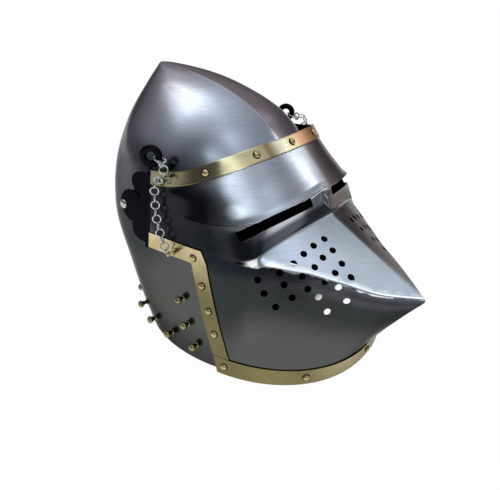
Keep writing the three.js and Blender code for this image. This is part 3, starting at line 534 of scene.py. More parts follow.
def tarnish_group():
    """Broad soft patches where the metal reads a little darker or warmer."""
    group, inward, outward = new_group("soft_tint", {"Size": 9.0, "Amount": 1.0}, ["Patch", "Warm"])
    place = own_place(group)
    patch = spread(group, noise_node(group, place, inward["Size"], 3.0, 0.5), 0.38, 0.66)
    leaning = mapped(group, place, "Scale", TINT_SCALE)
    warm = spread(group, noise_node(group, leaning, inward["Size"], 2.0, 0.4), 0.42, 0.62)
    plug(group, outward["Patch"], math_node(group, "MULTIPLY", patch, inward["Amount"]))
    plug(group, outward["Warm"], math_node(group, "MULTIPLY", warm, inward["Amount"]))
    return group


def patch_group():
    """A soft-edged patch, on one side or on both: its middle and its half sizes in metres."""
    group, inward, outward = new_group(
        "soft_patch", {"Middle": (0, 0, 0), "Half size": (1, 1, 1), "Edge": 0.5, "Both sides": 1.0}, ["Mask"])
    x, y, z = wired(group, "ShaderNodeSeparateXYZ", {0: own_place(group)}).outputs
    fold = math_node(group, "SUBTRACT", math_node(group, "ABSOLUTE", x), x)
    x = math_node(group, "MULTIPLY_ADD", fold, inward["Both sides"], x)
    folded = wired(group, "ShaderNodeCombineXYZ", {"X": x, "Y": y, "Z": z}).outputs[0]
    away = vector_node(group, "SUBTRACT", folded, inward["Middle"])
    away = vector_node(group, "DIVIDE", away, inward["Half size"])
    distance = wobbled(group, vector_node(group, "LENGTH", away, output="Value"), 0.12, 26.0, 3.0, 0.55)
    near = math_node(group, "SUBTRACT", 1.0, inward["Edge"])
    far = math_node(group, "ADD", 1.0, inward["Edge"])
    plug(group, outward["Mask"], spread(group, distance, near, far, 1.0, 0.0, ease="SMOOTHSTEP"))
    return group


GRAIN = grain_group()
TINT = tarnish_group()
PATCH = patch_group()
WARM_SHARE, GRAZING, GRAIN_DEPTH = 0.6, 0.45, 0.0002


def metal(name, base, dark, warm, roughness, rough_spread, bump, size=9.0, patches=(), bands=()):
    """A metal with polishing grain, smudges and soft tints. Its patches and bands paint colour in, most of
    them painted shade, painted highlights and painted reflections. A patch is a colour, a middle, half sizes,
    an edge, a strength and, where it keeps to its own side, a 0. A band is a colour, one of the piece's own
    attributes, where it rises, where it falls, a strength or the attribute that holds it, and a wobble."""
    material = bpy.data.materials.new(name)
    material.use_nodes = True
    tree = material.node_tree
    grain = wired(tree, "ShaderNodeGroup", {}, node_tree=GRAIN).outputs
    tints = wired(tree, "ShaderNodeGroup", {"Size": size}, node_tree=TINT).outputs
    colour = mixed(tree, tints["Patch"], (*base, 1), (*dark, 1))
    colour = mixed(tree, math_node(tree, "MULTIPLY", tints["Warm"], WARM_SHARE), colour, (*warm, 1))
    for shade, middle, half, edge, strength, *both in patches:
        values = {"Middle": in_row(middle).tolist(), "Half size": [h * MM for h in half], "Edge": edge,
                  "Both sides": both[0] if both else 1.0}
        mask = wired(tree, "ShaderNodeGroup", values, node_tree=PATCH).outputs["Mask"]
        colour = mixed(tree, math_node(tree, "MULTIPLY", mask, strength), colour, (*shade, 1))
    for shade, label, rise, fall, strength, wobble in bands:
        value = attribute(tree, label)
        if wobble:
            value = wobbled(tree, value, wobble, 75.0, 2.0, 0.45)
        mask = attribute(tree, strength) if isinstance(strength, str) else strength
        for limits, ends in ((rise, (0.0, 1.0)), (fall, (1.0, 0.0))):
            if limits:
                share = spread(tree, value, *limits, *ends, ease="SMOOTHSTEP")
                mask = math_node(tree, "MULTIPLY", share, mask)
        colour = mixed(tree, mask, colour, (*shade, 1))
    streak = spread(tree, grain["Height"], 0.35, 0.65, 0.93, 1.05)
    rough = spread(tree, grain["Smudge"], 0.3, 0.7, roughness - rough_spread, roughness + rough_spread)
    dent = {"Strength": bump, "Distance": GRAIN_DEPTH, "Height": grain["Height"]}
    values = {"Base Color": scaled(tree, colour, streak), "Roughness": rough, "Metallic": 1.0,
              "Specular Tint": (GRAZING, GRAZING, GRAZING, 1),
              "Normal": wired(tree, "ShaderNodeBump", dent).outputs["Normal"]}
    for label, value in values.items():
        plug(tree, tree.nodes["Principled BSDF"].inputs[label], value)
    return material


# Colours of painted shade and painted highlight, standing for what the polish would reflect, and of the
# inside, painted near black
LOW_SHADE, UNDER_SHADE, NAVY_SHADE = (0.085, 0.092, 0.084), (0.030, 0.034, 0.036), (0.014, 0.017, 0.027)
DEEP_SHADE, OVER_CREASE_SHADE = (0.006, 0.008, 0.011), (0.035, 0.043, 0.054)
HIGHLIGHT, NEAR_BLACK = (0.97, 0.99, 1.0), (0.004, 0.004, 0.005)
skull_steel = metal(
    "polished_skull_steel", (0.50, 0.53, 0.60), (0.41, 0.43, 0.49), (0.46, 0.42, 0.46), 0.225, 0.04, 0.2,
    patches=[
        # Painted shade and reflections: the lower skull darker, dark patches low at the side, at the side's
        # back and by the hinge, a mauve reflection high at the back, and a grey patch that dims the side high
        # up
        (LOW_SHADE, (0, 60, 30), (300, 300, 120), 0.35, 0.97),
        ((0.03, 0.034, 0.028), (70, 40, -4), (100, 90, 30), 0.6, 0.75),
        ((0.42, 0.36, 0.39), (60, 150, 235), (70, 60, 40), 0.5, 0.7),
        ((0.095, 0.10, 0.11), (100, 110, 146), (40, 60, 40), 0.5, 0.85),
        ((0.20, 0.21, 0.24), (82, 30, 186), (26, 26, 20), 0.45, 0.8),
        (DEEP_SHADE, (100, 60, 160), (40, 34, 26), 0.6, 0.85),
        ((0.04, 0.044, 0.05), (100, 82, 110), (40, 30, 30), 0.6, 0.7),
    ], bands=[
        # A painted mauve reflection on the far side of the keel, a painted highlight along the keel, and the
        # inside painted near black
        ((0.42, 0.34, 0.355), "far_side", (-1.0, 2.5), (45.0, 95.0), "keel_share", 0),
        ((0.80, 0.82, 0.86), "far_side", (-3.5, -0.5), (-0.5, 1.2), "keel_shine", 0),
        (NEAR_BLACK, "inside", (0.2, 0.5), None, 0.98, 0),
    ])
visor_steel = metal(
    "polished_visor_steel", (0.60, 0.62, 0.68), (0.50, 0.52, 0.58), (0.54, 0.52, 0.54), 0.215, 0.04, 0.2,
    patches=[
        # Painted shade by the hinge and on the cheek, and a small painted highlight
        (DEEP_SHADE, (108, 34, 140), (34, 60, 52), 0.45, 0.97),
        ((0.010, 0.013, 0.017), (102, -26, 114), (38, 38, 34), 0.55, 0.95),
        (HIGHLIGHT, (88, -20, 154), (9, 8, 5), 0.6, 0.35),
    ], bands=[
        # Painted shade below the ridge and over the crease, the facet painted lighter and greyer towards the
        # nose, a painted brown reflection on the far side, painted highlights along the crease and the ridge,
        # and the inside painted near black
        (LOW_SHADE, "above_ridge", None, (-22.0, -3.0), 0.97, 0),
        (UNDER_SHADE, "above_ridge", (-64.0, -30.0), (-9.0, -1.5), 0.85, 0),
        (NAVY_SHADE, "above_ridge", (-14.0, -5.0), (-2.0, -0.9), 0.85, 0.8),
        (OVER_CREASE_SHADE, "above_crease", (0.2, 1.6), (9.0, 15.0), "strip_share", 0),
        ((0.62, 0.67, 0.76), "facet", (0.0, 1.0), None, 0.92, 0),
        ((0.47, 0.50, 0.53), "far_side", (-66.0, -28.0), None, "facet", 0),
        ((0.25, 0.185, 0.175), "far_side", (-1.0, 9.0), (42.0, 88.0), 0.85, 0),
        (HIGHLIGHT, "above_crease", (-1.1, -0.3), (0.2, 0.9), "crease_share", 0.2),
        (HIGHLIGHT, "ridge_line", (-2.2, -1.0), (1.6, 6.5), "ridge_share", 1.7),
        (NEAR_BLACK, "inside", (0.2, 0.5), None, 0.98, 0),
    ])
lozenge_steel = metal(
    "lozenge_steel", (0.34, 0.35, 0.38), (0.26, 0.27, 0.30), (0.3, 0.28, 0.29), 0.2, 0.04, 0.2)
rivet_steel = metal(
    "rivet_steel", (0.62, 0.63, 0.66), (0.45, 0.46, 0.48), (0.5, 0.48, 0.46), 0.22, 0.05, 0.1)
BRASS_PAINTED_LIGHT_AND_TINT = [
    # Painted shade and highlights on the brass: darker low down, lighter at the rim band's front, darker low
    # at the side and at the top band's ends, and on the top band a dark streak, a highlight and a copper-red
    # tone
    ((0.15, 0.13, 0.058), (0, -40, 20), (400, 400, 85), 0.4, 0.94),
    ((0.56, 0.48, 0.29), (0, -130, 15), (76, 30, 22), 0.8, 0.9),
    ((0.26, 0.225, 0.10), (92, -74, 8), (24, 24, 14), 0.7, 0.8),
    ((0.19, 0.175, 0.11), (116, 40, 190), (35, 400, 36), 0.09, 0.9),
    ((0.36, 0.27, 0.13), (-34, -10, 192), (3.5, 90, 25), 0.4, 0.65, 0.0),
    ((1.0, 0.97, 0.74), (-17, -10, 192), (9, 90, 25), 0.4, 0.8, 0.0),
    ((1.0, 0.54, 0.30), (36, -10, 192), (28, 90, 30), 0.3, 0.9, 0.0),
]
trim_brass = metal(
    "polished_trim_brass", (0.88, 0.77, 0.47), (0.72, 0.60, 0.34), (0.78, 0.64, 0.36), 0.24, 0.06, 0.25,
    size=30.0, patches=BRASS_PAINTED_LIGHT_AND_TINT)
# The rivets take the brass's painted highlight and copper tone, and are painted dark at the foot and rim:
# painted shade, with tarnish in the crevice
rivet_brass = metal(
    "domed_brass", (0.60, 0.50, 0.28), (0.48, 0.39, 0.20), (0.54, 0.42, 0.22), 0.19, 0.04, 0.1,
    size=30.0, patches=BRASS_PAINTED_LIGHT_AND_TINT[-2:], bands=[((0.03, 0.022, 0.012), "edge", (0.45, 0.9), None, 0.95, 0)])
# The studs are painted dark at their necks, as painted shade
stud_brass = metal(
    "turned_stud_brass", (0.40, 0.36, 0.20), (0.22, 0.20, 0.10), (0.28, 0.23, 0.11), 0.17, 0.05, 0.12,
    size=90.0, bands=[((0.03, 0.028, 0.018), "edge", (0.2, 0.7), None, 0.92, 0)])
hinge_black = metal(
    "blackened_hinge", (0.010, 0.011, 0.015), (0.006, 0.006, 0.009), (0.016, 0.014, 0.015), 0.42, 0.06, 0.35)
chain_nickel = metal(
    "bright_chain_wire", (0.66, 0.69, 0.66), (0.42, 0.44, 0.42), (0.55, 0.55, 0.5), 0.18, 0.04, 0.05)


# ---- visor
COLUMNS, REACH_ROUND, SPANS = 125, 1.02, [10, 12, 14, 5, 5, 14, 44, 40, 9]
VISOR_HEART, SKULL_HEART = [0, BARREL_BACK, 60], [0, 60, 100]
EASES = ((10, (BAND_FOOT, BROW), 0.5), (2, (LIP_ROOT, LIP, LIP_UNDER), 0.5), (3, (CREASE,), 0.12),
         (5, (RIDGE,), 0.1))


def across_steps():
    t = np.linspace(0, 1, COLUMNS + 1)
    one = REACH_ROUND * (0.45 * t ** 1.5 + 0.55 * t)
    return np.concatenate([-one[:0:-1], one])


def eased(grid, steps):
    """Rounds the creases between the visor's rows, as hammered plate is rounded."""
    reach = np.abs(steps - np.round(steps))
    for turns, rows, width in EASES:
        for _ in range(turns):
            for k in rows:
                near = np.where((np.round(steps) == k) & (reach <= width))[0]
                near = near[(near > 0) & (near < len(steps) - 1)]
                grid[near] += 0.5 * ((grid[near - 1] + grid[near + 1]) / 2 - grid[near])
    return grid


ACROSS = across_steps()
DOWN = np.array([k + i / span for k, span in enumerate(SPANS) for i in range(span)] + [RIM])
visor_outer = eased(np.stack([visor_point(ACROSS, d) for d in DOWN]), DOWN)
VISOR_NORMALS = grid_normals(visor_outer, VISOR_HEART)
visor_inner = visor_outer - VISOR_NORMALS * STEEL_GAUGE
visor_inner[-1, :, 2] = 0
STEP_SLOPE = (STEP_BACK + REAR_FOOT) / STEP_HEIGHT


def edge_back(z):
    hinge_back = BARREL_BACK - BARREL_LEAN * (z - BARREL_MIDDLE) / BARREL_LENGTH
    return hinge_back - BARREL_RADIUS - SEAT_GAP


def slant(z):
    return STEP_SLOPE * z - REAR_FOOT


def behind_visor():
    """Everything behind the visor's stepped rear edge."""
    top = VISOR_HEIGHT + PAST
    outline = [(edge_back(top), top), (edge_back(STEP_HEIGHT), STEP_HEIGHT), (STEP_BACK, STEP_HEIGHT),
               (slant(-PAST), -PAST), (SKULL_DEPTH, -PAST), (SKULL_DEPTH, top)]
    return prism("behind", outline, 0, -SKULL_DEPTH, SKULL_DEPTH)


SIGHT = [(0.171, 0.777), (0.322, 0.782), (0.431, 0.777), (0.529, 0.77), (0.619, 0.761), (0.701, 0.75),
         (0.772, 0.737), (0.821, 0.716), (0.87, 0.696), (0.863, 0.657), (0.811, 0.677), (0.746, 0.692),
         (0.671, 0.705), (0.59, 0.716), (0.497, 0.724), (0.395, 0.73), (0.284, 0.735), (0.166, 0.739)]
# Each row of breath holes: its first and last place, how many holes, and how far it bows upwards
BREATH_ROWS = [((0.249, 0.623), (0.84, 0.503), 6, 0.015), ((0.268, 0.588), (0.831, 0.445), 6, 0.018),
               ((0.295, 0.548), (0.794, 0.387), 6, 0.013), ((0.323, 0.508), (0.545, 0.427), 3, 0.005),
               ((0.397, 0.407), (0.508, 0.357), 2, 0.0)]
BREATH_CUT = [(BREATH_RADIUS, -6.4), (BREATH_RADIUS, 6.4)]
REAR_LINE, REAR_PACE, CHUNK = 117.0, 0.6, 4000
# Where the painted shade and highlights fade round the visor, in quarter turns, and where the edge of the far
# side's painted reflection leans over
REAR_FADE, RIDGE_FADE, CREASE_FADE, STRIP_FADE = (0.42, 0.6), (0.45, 0.49), (0.44, 0.5), (0.44, 0.56)
FACET_FADE, FACET_EDGE, FAR_LEAN, FAR_RISE = (0.46, 0.5), 1.5, 12, (140, 165)


def breath_places():
    places = []
    for first, last, count, bow in BREATH_ROWS:
        for k in range(count):
            t = k / (count - 1)
            x = (first[0] + (last[0] - first[0]) * t) * VISOR_SIDE
            z = (first[1] + (last[1] - first[1]) * t + 4 * bow * t * (1 - t)) * VISOR_HEIGHT
            point, normal = on_visor(1, 0, x, z, CREASE, BAND_HEAD)
            places += [(point, normal), (point * [-1, 1, 1], normal * [-1, 1, 1])]
    return places


def vectors_of(thing, kind):
    values = np.empty(len(thing.data.vertices) * 3)
    thing.data.vertices.foreach_get(kind, values)
    return values.reshape(-1, 3)


def places_of(thing):
    return vectors_of(thing, "co") / MM - [0, SHIFT, 0]


def inside_share(thing, centre):
    """1 on the wall's inner face and 0 on its outer one."""
    return (np.sum(vectors_of(thing, "normal") * (places_of(thing) - centre), -1) < 0).astype(float)


def paint(thing, name, values):
    """Writes one value to each point of the mesh, for its material to read."""
    layer = thing.data.attributes.new(name, "FLOAT", "POINT")
    layer.data.foreach_set("value", np.asarray(values, np.float32))


def above_row(points, k):
    """How far each point lies above a row of the visor, in millimetres, and how far round it is."""
    even = np.abs(points) * [1, 0, 0] + points * [0, 1, 1]
    above, round_it = np.empty(len(points)), np.empty(len(points))
    for start in range(0, len(points), CHUNK):
        away = even[start:start + CHUNK, None, :] - ROWS[k][None, :, :]
        distance = np.linalg.norm(away, axis=-1)
        nearest = distance.argmin(1)
        pick = np.arange(len(nearest))
        above[start:start + CHUNK] = distance[pick, nearest] * np.sign(away[pick, nearest, 2])
        round_it[start:start + CHUNK] = ROW_ANGLES[k][nearest] / (math.pi / 2)
    return above, round_it


def make_visor():
    cutters = [behind_visor(), turned("breath", [(BREATH_CUT, p, n, 24) for p, n in breath_places()])]
    for _, side in SIDES:
        outline = [(side * x * VISOR_SIDE, z * VISOR_HEIGHT) for x, z in SIGHT]
        cutters.append(prism("sight", outline, 1, -SNOUT_REACH / 2, 0))
    visor = carve(shell("visor_plate", visor_outer, visor_inner), cutters)
    points = places_of(visor)
    # What the visor's painted shade, painted highlights and painted far-side reflection are laid by: heights
    # over the ridge and the crease, shares round the visor, and the far side
    ridge, round_it = above_row(points, RIDGE)
    rear = smoothstep(round_it, *REAR_FADE)
    paint(visor, "above_ridge", ridge * (1 - rear) + (points[:, 2] - REAR_LINE) * REAR_PACE * rear)
    paint(visor, "ridge_line", ridge)
    paint(visor, "ridge_share", 1 - smoothstep(round_it, *RIDGE_FADE))
    crease, round_it = above_row(points, CREASE)
    paint(visor, "above_crease", crease)
    paint(visor, "crease_share", 0.6 * (1 - smoothstep(round_it, *CREASE_FADE)))
    paint(visor, "strip_share", 0.88 * (1 - smoothstep(round_it, *STRIP_FADE)))
    between = smoothstep(ridge, 0, FACET_EDGE) * smoothstep(-crease, 0, FACET_EDGE)
    paint(visor, "facet", between * (1 - smoothstep(round_it, *FACET_FADE)))
    paint(visor, "inside", inside_share(visor, VISOR_HEART))
    paint(visor, "far_side", points[:, 0] - FAR_LEAN * smoothstep(points[:, 2], *FAR_RISE))
    finished(visor, visor_steel, "visor", "visor", slot="polished_steel", degrees=50)


make_visor()

# The nose's diamond: its rings as (share of its half sizes, share of its rise)
LOZENGE = [(1.08, -0.4), (1.05, 0.3), (0.95, 0.9), (0.80, 0.9), (0.68, 0.3), (0.0, 0.4)]
LOZENGE_HALF, LOZENGE_RISE, LOZENGE_AT, LOZENGE_CURVE, LOZENGE_SIDES = (4.3, 8.2), 1.6, 0.745, 1.15, 16


def make_lozenge():
    """The raised diamond on the nose, between the sights."""
    point, normal = on_visor(1, 0, 0, LOZENGE_AT * VISOR_HEIGHT, LIP_UNDER, CREASE)
    aside, upward, out = frame_on(normal)
    wide, tall = LOZENGE_HALF
    points = []
    for share, rise in LOZENGE:
        for k in range(LOZENGE_SIDES):
            t = 2 * math.pi * k / LOZENGE_SIDES
            c, s = math.cos(t), math.sin(t)
            reach = share / (abs(c) ** LOZENGE_CURVE + abs(s) ** LOZENGE_CURVE) ** (1 / LOZENGE_CURVE)
            points.append(point + (aside * wide * c + upward * tall * s) * reach + out * LOZENGE_RISE * rise)
    lozenge = mesh_object("nose_lozenge", points, lathe_faces(len(LOZENGE), LOZENGE_SIDES))
    finished(lozenge, lozenge_steel, "visor", slot="polished_steel", degrees=30)


make_lozenge()

# ---- skull
# The face opening as the side view shows it, in (y, z)
OPENING = [(-41, -PAST), (-5, 100), (-9, 142), (-22, 158), (-SKULL_DEPTH, 180), (-SKULL_DEPTH, -PAST)]
AROUND, UPWARD, CROWD = 240, 130, 1.25
# Where the skull's painted far-side reflection and painted keel highlight reach: the heights they rise over,
# how far behind the apex they fade, and their strengths
KEEL_RISE, APEX_FADE, KEEL_SHARE, KEEL_SHINE = (120, 170), (-6, 16), 0.85, 0.35


def make_skull():
    angles = np.linspace(0, 2 * math.pi, AROUND, endpoint=False)
    rises = 1 - (1 - np.linspace(0, 1, UPWARD)) ** CROWD
    outer = skull_point(angles[None, :], rises[:, None])
    normals = grid_normals(outer, SKULL_HEART, closed=True)
    normals[-1] = [0, 0, 1]
    inner = outer - normals * STEEL_GAUGE
    inner[0, :, 2] = 0
    opening = prism("opening", OPENING, 0, -SKULL_DEPTH, SKULL_DEPTH)
    skull = carve(shell("skull_plate", outer, inner, closed=True), [opening])
    places = places_of(skull)
    # The far side's painted reflection and the keel's painted highlight keep to the skull's front, high up
    behind_apex = places[:, 1] - places[np.argmax(places[:, 2]), 1]
    front_share = (1 - smoothstep(behind_apex, *APEX_FADE)) * smoothstep(places[:, 2], *KEEL_RISE)
    paint(skull, "far_side", places[:, 0])
    paint(skull, "keel_share", KEEL_SHARE * front_share)
    paint(skull, "keel_shine", KEEL_SHINE * front_share)
    paint(skull, "inside", inside_share(skull, SKULL_HEART))
    finished(skull, skull_steel, "skull", "skull", slot="polished_steel", degrees=50)


make_skull()

# ---- brass trim
BEVEL, STRIP_FROM, STRIP_SPAN = 0.28, 0.45, (60, 150)
BLOCK = [(-200, -40), (200, -40), (200, 240), (-200, 240)]


def bevelled(thing):
    edge = thing.modifiers.new("edge", "BEVEL")
    edge.width, edge.segments = BEVEL * MM, 2
    edge.limit_method, edge.angle_limit = "ANGLE", math.radians(50)
    return applied(thing)


def trim_sheet(name, node, steps, columns, cutter):
    """A brass strip that lies on the visor, over some of its rows and columns."""
    first, last = (int(np.argmin(np.abs(DOWN - s))) for s in steps)
    base, normals = visor_outer[first:last + 1, columns], VISOR_NORMALS[first:last + 1, columns]
    inner, outer = base + normals * SEAT_GAP, base + normals * (SEAT_GAP + BRASS_GAUGE)
    if steps[1] == RIM:
        inner[-1, :, 2] = 0
        outer[-1, :, 2] = 0
    strip = bevelled(carve(shell(name, outer, inner), [cutter]))
    finished(strip, trim_brass, "visor", node, slot="polished_brass")


def all_but(outline, low, high):
    """Everything outside an outline in (y, z), as one cutter with a hole along X."""
    keep = prism("keep", outline, 0, low - PAST, high + PAST)
    return carve(prism("around", BLOCK, 0, low, high), [keep])


whole = slice(0, len(ACROSS))
trim_sheet("top_band", "visor_top_band", (TOP, BAND_FOOT), whole, behind_visor())
trim_sheet("rim_band", "visor_bottom_band", (BAND_HEAD, RIM), whole, behind_visor())

SLANT_WIDTH = TRIM_WIDTH * math.hypot(1, STEP_SLOPE)
STRIP_FOOT, STRIP_HEAD = RIM_BAND + 2 * SEAT_GAP, STEP_HEIGHT + TRIM_WIDTH
SIDE_STRIP = [(edge_back(STEP_HEIGHT), STEP_HEIGHT), (STEP_BACK, STEP_HEIGHT),
              (slant(STRIP_FOOT), STRIP_FOOT), (slant(STRIP_FOOT) - SLANT_WIDTH, STRIP_FOOT),
              (slant(STRIP_HEAD) - SLANT_WIDTH, STRIP_HEAD), (edge_back(STRIP_HEAD), STRIP_HEAD)]
for label, side in SIDES:
    columns = np.where(ACROSS * side > STRIP_FROM)[0]
    columns = slice(columns[0], columns[-1] + 1)
    cutter = all_but(SIDE_STRIP, *sorted(side * reach for reach in STRIP_SPAN))
    trim_sheet(f"side_strip_{label}", f"side_trim_{label}", (CREASE, RIM), columns, cutter)


# ---- repeats: rivets, studs and links
def object_shape(tree, inward):
    return wired(tree, "GeometryNodeObjectInfo", {"Object": inward["Shape"]}).outputs["Geometry"]


def link_shape(tree, inward):
    ring, wire = (wired(tree, "GeometryNodeCurvePrimitiveCircle",
                        {"Resolution": count, "Radius": inward[label]}).outputs["Curve"]
                  for label, count in (("Link radius", 28), ("Wire radius", 8)))
    curves = {"Curve": ring, "Profile Curve": wire}
    return wired(tree, "GeometryNodeCurveToMesh", curves).outputs["Mesh"]


def stamped_tree(name, inputs, shape):
    """Sets a shape on every point, turned by the point's own turn."""
    tree = bpy.data.node_groups.new(name, "GeometryNodeTree")
    sockets = [("Geometry", "INPUT", "Geometry"), *((label, "INPUT", kind) for label, kind in inputs),
               ("Finish", "INPUT", "Material"), ("Geometry", "OUTPUT", "Geometry")]
    for label, way, kind in sockets:
        tree.interface.new_socket(name=label, in_out=way, socket_type="NodeSocket" + kind)
    inward, outward = tree.nodes.new("NodeGroupInput").outputs, tree.nodes.new("NodeGroupOutput").inputs
    points = wired(tree, "GeometryNodeMeshToPoints", {"Mesh": inward["Geometry"]})
    turn = wired(tree, "GeometryNodeInputNamedAttribute", {"Name": "turn"}, data_type="FLOAT_VECTOR")
    euler = wired(tree, "FunctionNodeEulerToRotation", {0: turn.outputs["Attribute"]})
    stamp = wired(tree, "GeometryNodeInstanceOnPoints", {
        "Points": points.outputs["Points"], "Rotation": euler.outputs[0], "Instance": shape(tree, inward)})
    real = wired(tree, "GeometryNodeRealizeInstances", {0: stamp.outputs["Instances"]})
    coat = wired(tree, "GeometryNodeSetMaterial", {"Geometry": real.outputs[0], "Material": inward["Finish"]})
    plug(tree, outward["Geometry"], coat.outputs["Geometry"])
    return tree


STAMP = stamped_tree("shape_on_points", [("Shape", "Object")], object_shape)
LINKS = stamped_tree("wire_links", [("Link radius", "Float"), ("Wire radius", "Float")], link_shape)


def stamped(name, tree, places, settings):
    """One mesh with a shape at each place. A place is a point and an axis."""
    mesh = bpy.data.meshes.new(name)
    mesh.from_pydata(in_row([point for point, _ in places]).tolist(), [], [])
    turns = mesh.attributes.new("turn", "FLOAT_VECTOR", "POINT")
    for item, (_, axis) in zip(turns.data, places):
        item.vector = Matrix([Vector(way) for way in frame_on(axis)]).transposed().to_euler()[:]
    thing = new_object(name, mesh)
    modifier = thing.modifiers.new("stamp", "NODES")
    modifier.node_group = tree
    inputs = {item.name: item.identifier for item in tree.interface.items_tree if item.in_out == "INPUT"}
    for label, value in settings.items():
        modifier[inputs[label]] = value
    return applied(thing)


def turned_repeats(name, profile, edge, places, material, body, start):
    """A turned shape at each place, for the solids whose names start alike. Darkening keeps to where edge is
    1: painted shade, and tarnish too in a rivet's crevice.
    """
    shape = turned(f"{name}_shape", [(profile, (0, -SHIFT, 0), (0, 0, 1), SHAPE_SIDES)])
    soften(shape, 40)
    paint(shape, "edge", [edge(math.hypot(*v.co[:2]) / MM, v.co.z / MM) for v in shape.data.vertices])
    thing = stamped(name, STAMP, places, {"Shape": shape, "Finish": material})
    bpy.data.objects.remove(shape)
    nodes = [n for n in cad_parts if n.startswith(start)]
    finished(thing, material, body, *nodes, slot="polished_brass", degrees=40)


# A rivet is dark in the crevice at its foot, tarnish with painted shade, and darker towards its dome's rim,
# painted shade
def rivet_rim_shade_and_tarnish(radius, height):
    return 1.0 if height < DOME_FOOT - 0.05 else (radius / RIVET_HEAD) ** 4 * 0.9


# A stud is painted dark at its narrow necks, as painted shade
def verve_neck_shade(radius, height):
    return (2.9 - radius) / 1.3 if height < 6 else 0.1


SHAPE_SIDES, DOME_FOOT, DOME_HEIGHT = 20, 1.5, 0.7
TOP_RIVETS, RIM_RIVETS = (0, 0.443, 0.822), (0, 0.649, 0.965)
SIDE_RIVETS = ((0.077, 0.533), (0.006, 0.412), (-0.052, 0.302), (-0.099, 0.196))
BANDS = ((TOP_RIVETS, VISOR_SIDE, 0.5), (RIM_RIVETS, VISOR_SIDE + VISOR_FLARE, BAND_HEAD + 0.5))
DOME = [(RIVET_HEAD * math.cos(t), DOME_FOOT + RIVET_HEAD * DOME_HEIGHT * math.sin(t))
        for t in np.linspace(0, math.pi / 2, 7)]
RIVET = [(0.02, -2.6), (1.6, -2.5), (2.0, -2.0), (2.0, -1.3), (1.3, -1.2), (1.3, 1.3),
         (RIVET_HEAD * 1.2, 1.3), (RIVET_HEAD * 1.2, 1.36), (RIVET_HEAD * 1.02, 1.42), *DOME[:-1],
         (0.02, DOME[-1][1])]
VERVE = [(0.02, -2.6), (2.2, -2.5), (2.4, -1.9), (2.0, -1.2), (2.0, 0.3), (3.0, 0.3), (3.1, 0.7), (2.7, 1.1),
         (1.9, 1.5), (1.7, 2.1), (1.8, 2.7), (2.6, 3.1), (2.75, 3.7), (2.2, 4.0), (1.6, 4.1), (1.6, 4.3),
         (2.6, 4.6), (3.4, 5.3), (3.75, 6.2), (3.75, 7.0), (3.45, 8.0), (2.8, 8.8), (1.95, 9.4), (1.0, 9.72),
         (0.02, 9.8)]
VERVE_ROW = 0.057
VERVE_PLACES = [(0.097, 0.229), (0.066, 0.131)]
VERVE_PLACES += [(y, VERVE_ROW) for y in (0.024, 0.134, 0.235, 0.33, 0.415, 0.467)]


def rivet_places():
    places = []
    for shares, width, middle in BANDS:
        for share in shares:
            for side in (-1, 1) if share else (1,):
                places.append(on_visor(side, 0, share * width, 0, middle, middle))
    for y, z in SIDE_RIVETS:
        for _, side in SIDES:
            places.append(on_visor(side, 1, y * SNOUT_REACH, z * VISOR_HEIGHT, CREASE, BAND_HEAD))
    return places


verve_spots = [on_skull(side, y * SKULL_DEPTH, z * SKULL_HEIGHT)
               for _, side in SIDES for y, z in VERVE_PLACES]
verve_spots.append(on_skull(1, SKULL_DEPTH, VERVE_ROW * SKULL_HEIGHT))
turned_repeats("trim_rivets", RIVET, rivet_rim_shade_and_tarnish, rivet_places(), rivet_brass, "visor", "rivet_")
turned_repeats("vervelles", VERVE, verve_neck_shade, verve_spots, stud_brass, "skull", "vervelle_")

# ---- chain, on the same route as the solid one
BARREL_SLANT = math.hypot(BARREL_LEAN, BARREL_LENGTH)
BARREL_UP = (-BARREL_LEAN / BARREL_SLANT, BARREL_LENGTH / BARREL_SLANT)
EYE_UP = BARREL_SLANT / 2 + EYE_NECK + EYE_RADIUS + EYE_BAR
RING_TURN, EYE_TILT, EYE_LEAVE = math.radians(34), math.radians(22), math.radians(45)
DRAWN_WIRE, DRAWN_RADIUS, LINK_FACING, PATH_STEPS = LINK_WIRE * 1.25, LINK_RADIUS - 0.1, (0.77, -0.64), 1100
# How far the chain is out, as a share, and how far back and up from the barrel's middle, in barrel lengths
CHAIN_ROUTE = [(0.95, -0.297, 0.676), (0.98, -0.35, 0.64), (1, -0.357, 0.566), (1, -0.28, 0.5),
               (1, -0.22, 0.425), (1, -0.215, 0.185), (1, -0.22, 0.06), (1, -0.25, -0.08), (1, -0.29, -0.205),
               (1, -0.33, -0.305), (1, -0.39, -0.4)]


def on_barrel(side, up):
    return np.array([side * HINGE_OUT, BARREL_BACK + up * BARREL_UP[0], BARREL_MIDDLE + up * BARREL_UP[1]])


def along(path, distances):
    """The places at some distances along a path."""
    total = path_lengths(path)
    return np.stack([np.interp(distances, total, path[:, i]) for i in range(3)], -1)


def path_lengths(path):
    return np.concatenate([[0], np.cumsum(np.linalg.norm(np.diff(path, axis=0), axis=1))])


def ring_turn(way):
    """A direction at a ring, turned with the ring. Both rings are turned the same way."""
    x, y, z = way
    c, s = math.cos(RING_TURN), math.sin(RING_TURN)
    return np.array([x * c - y * s, x * s + y * c, z])


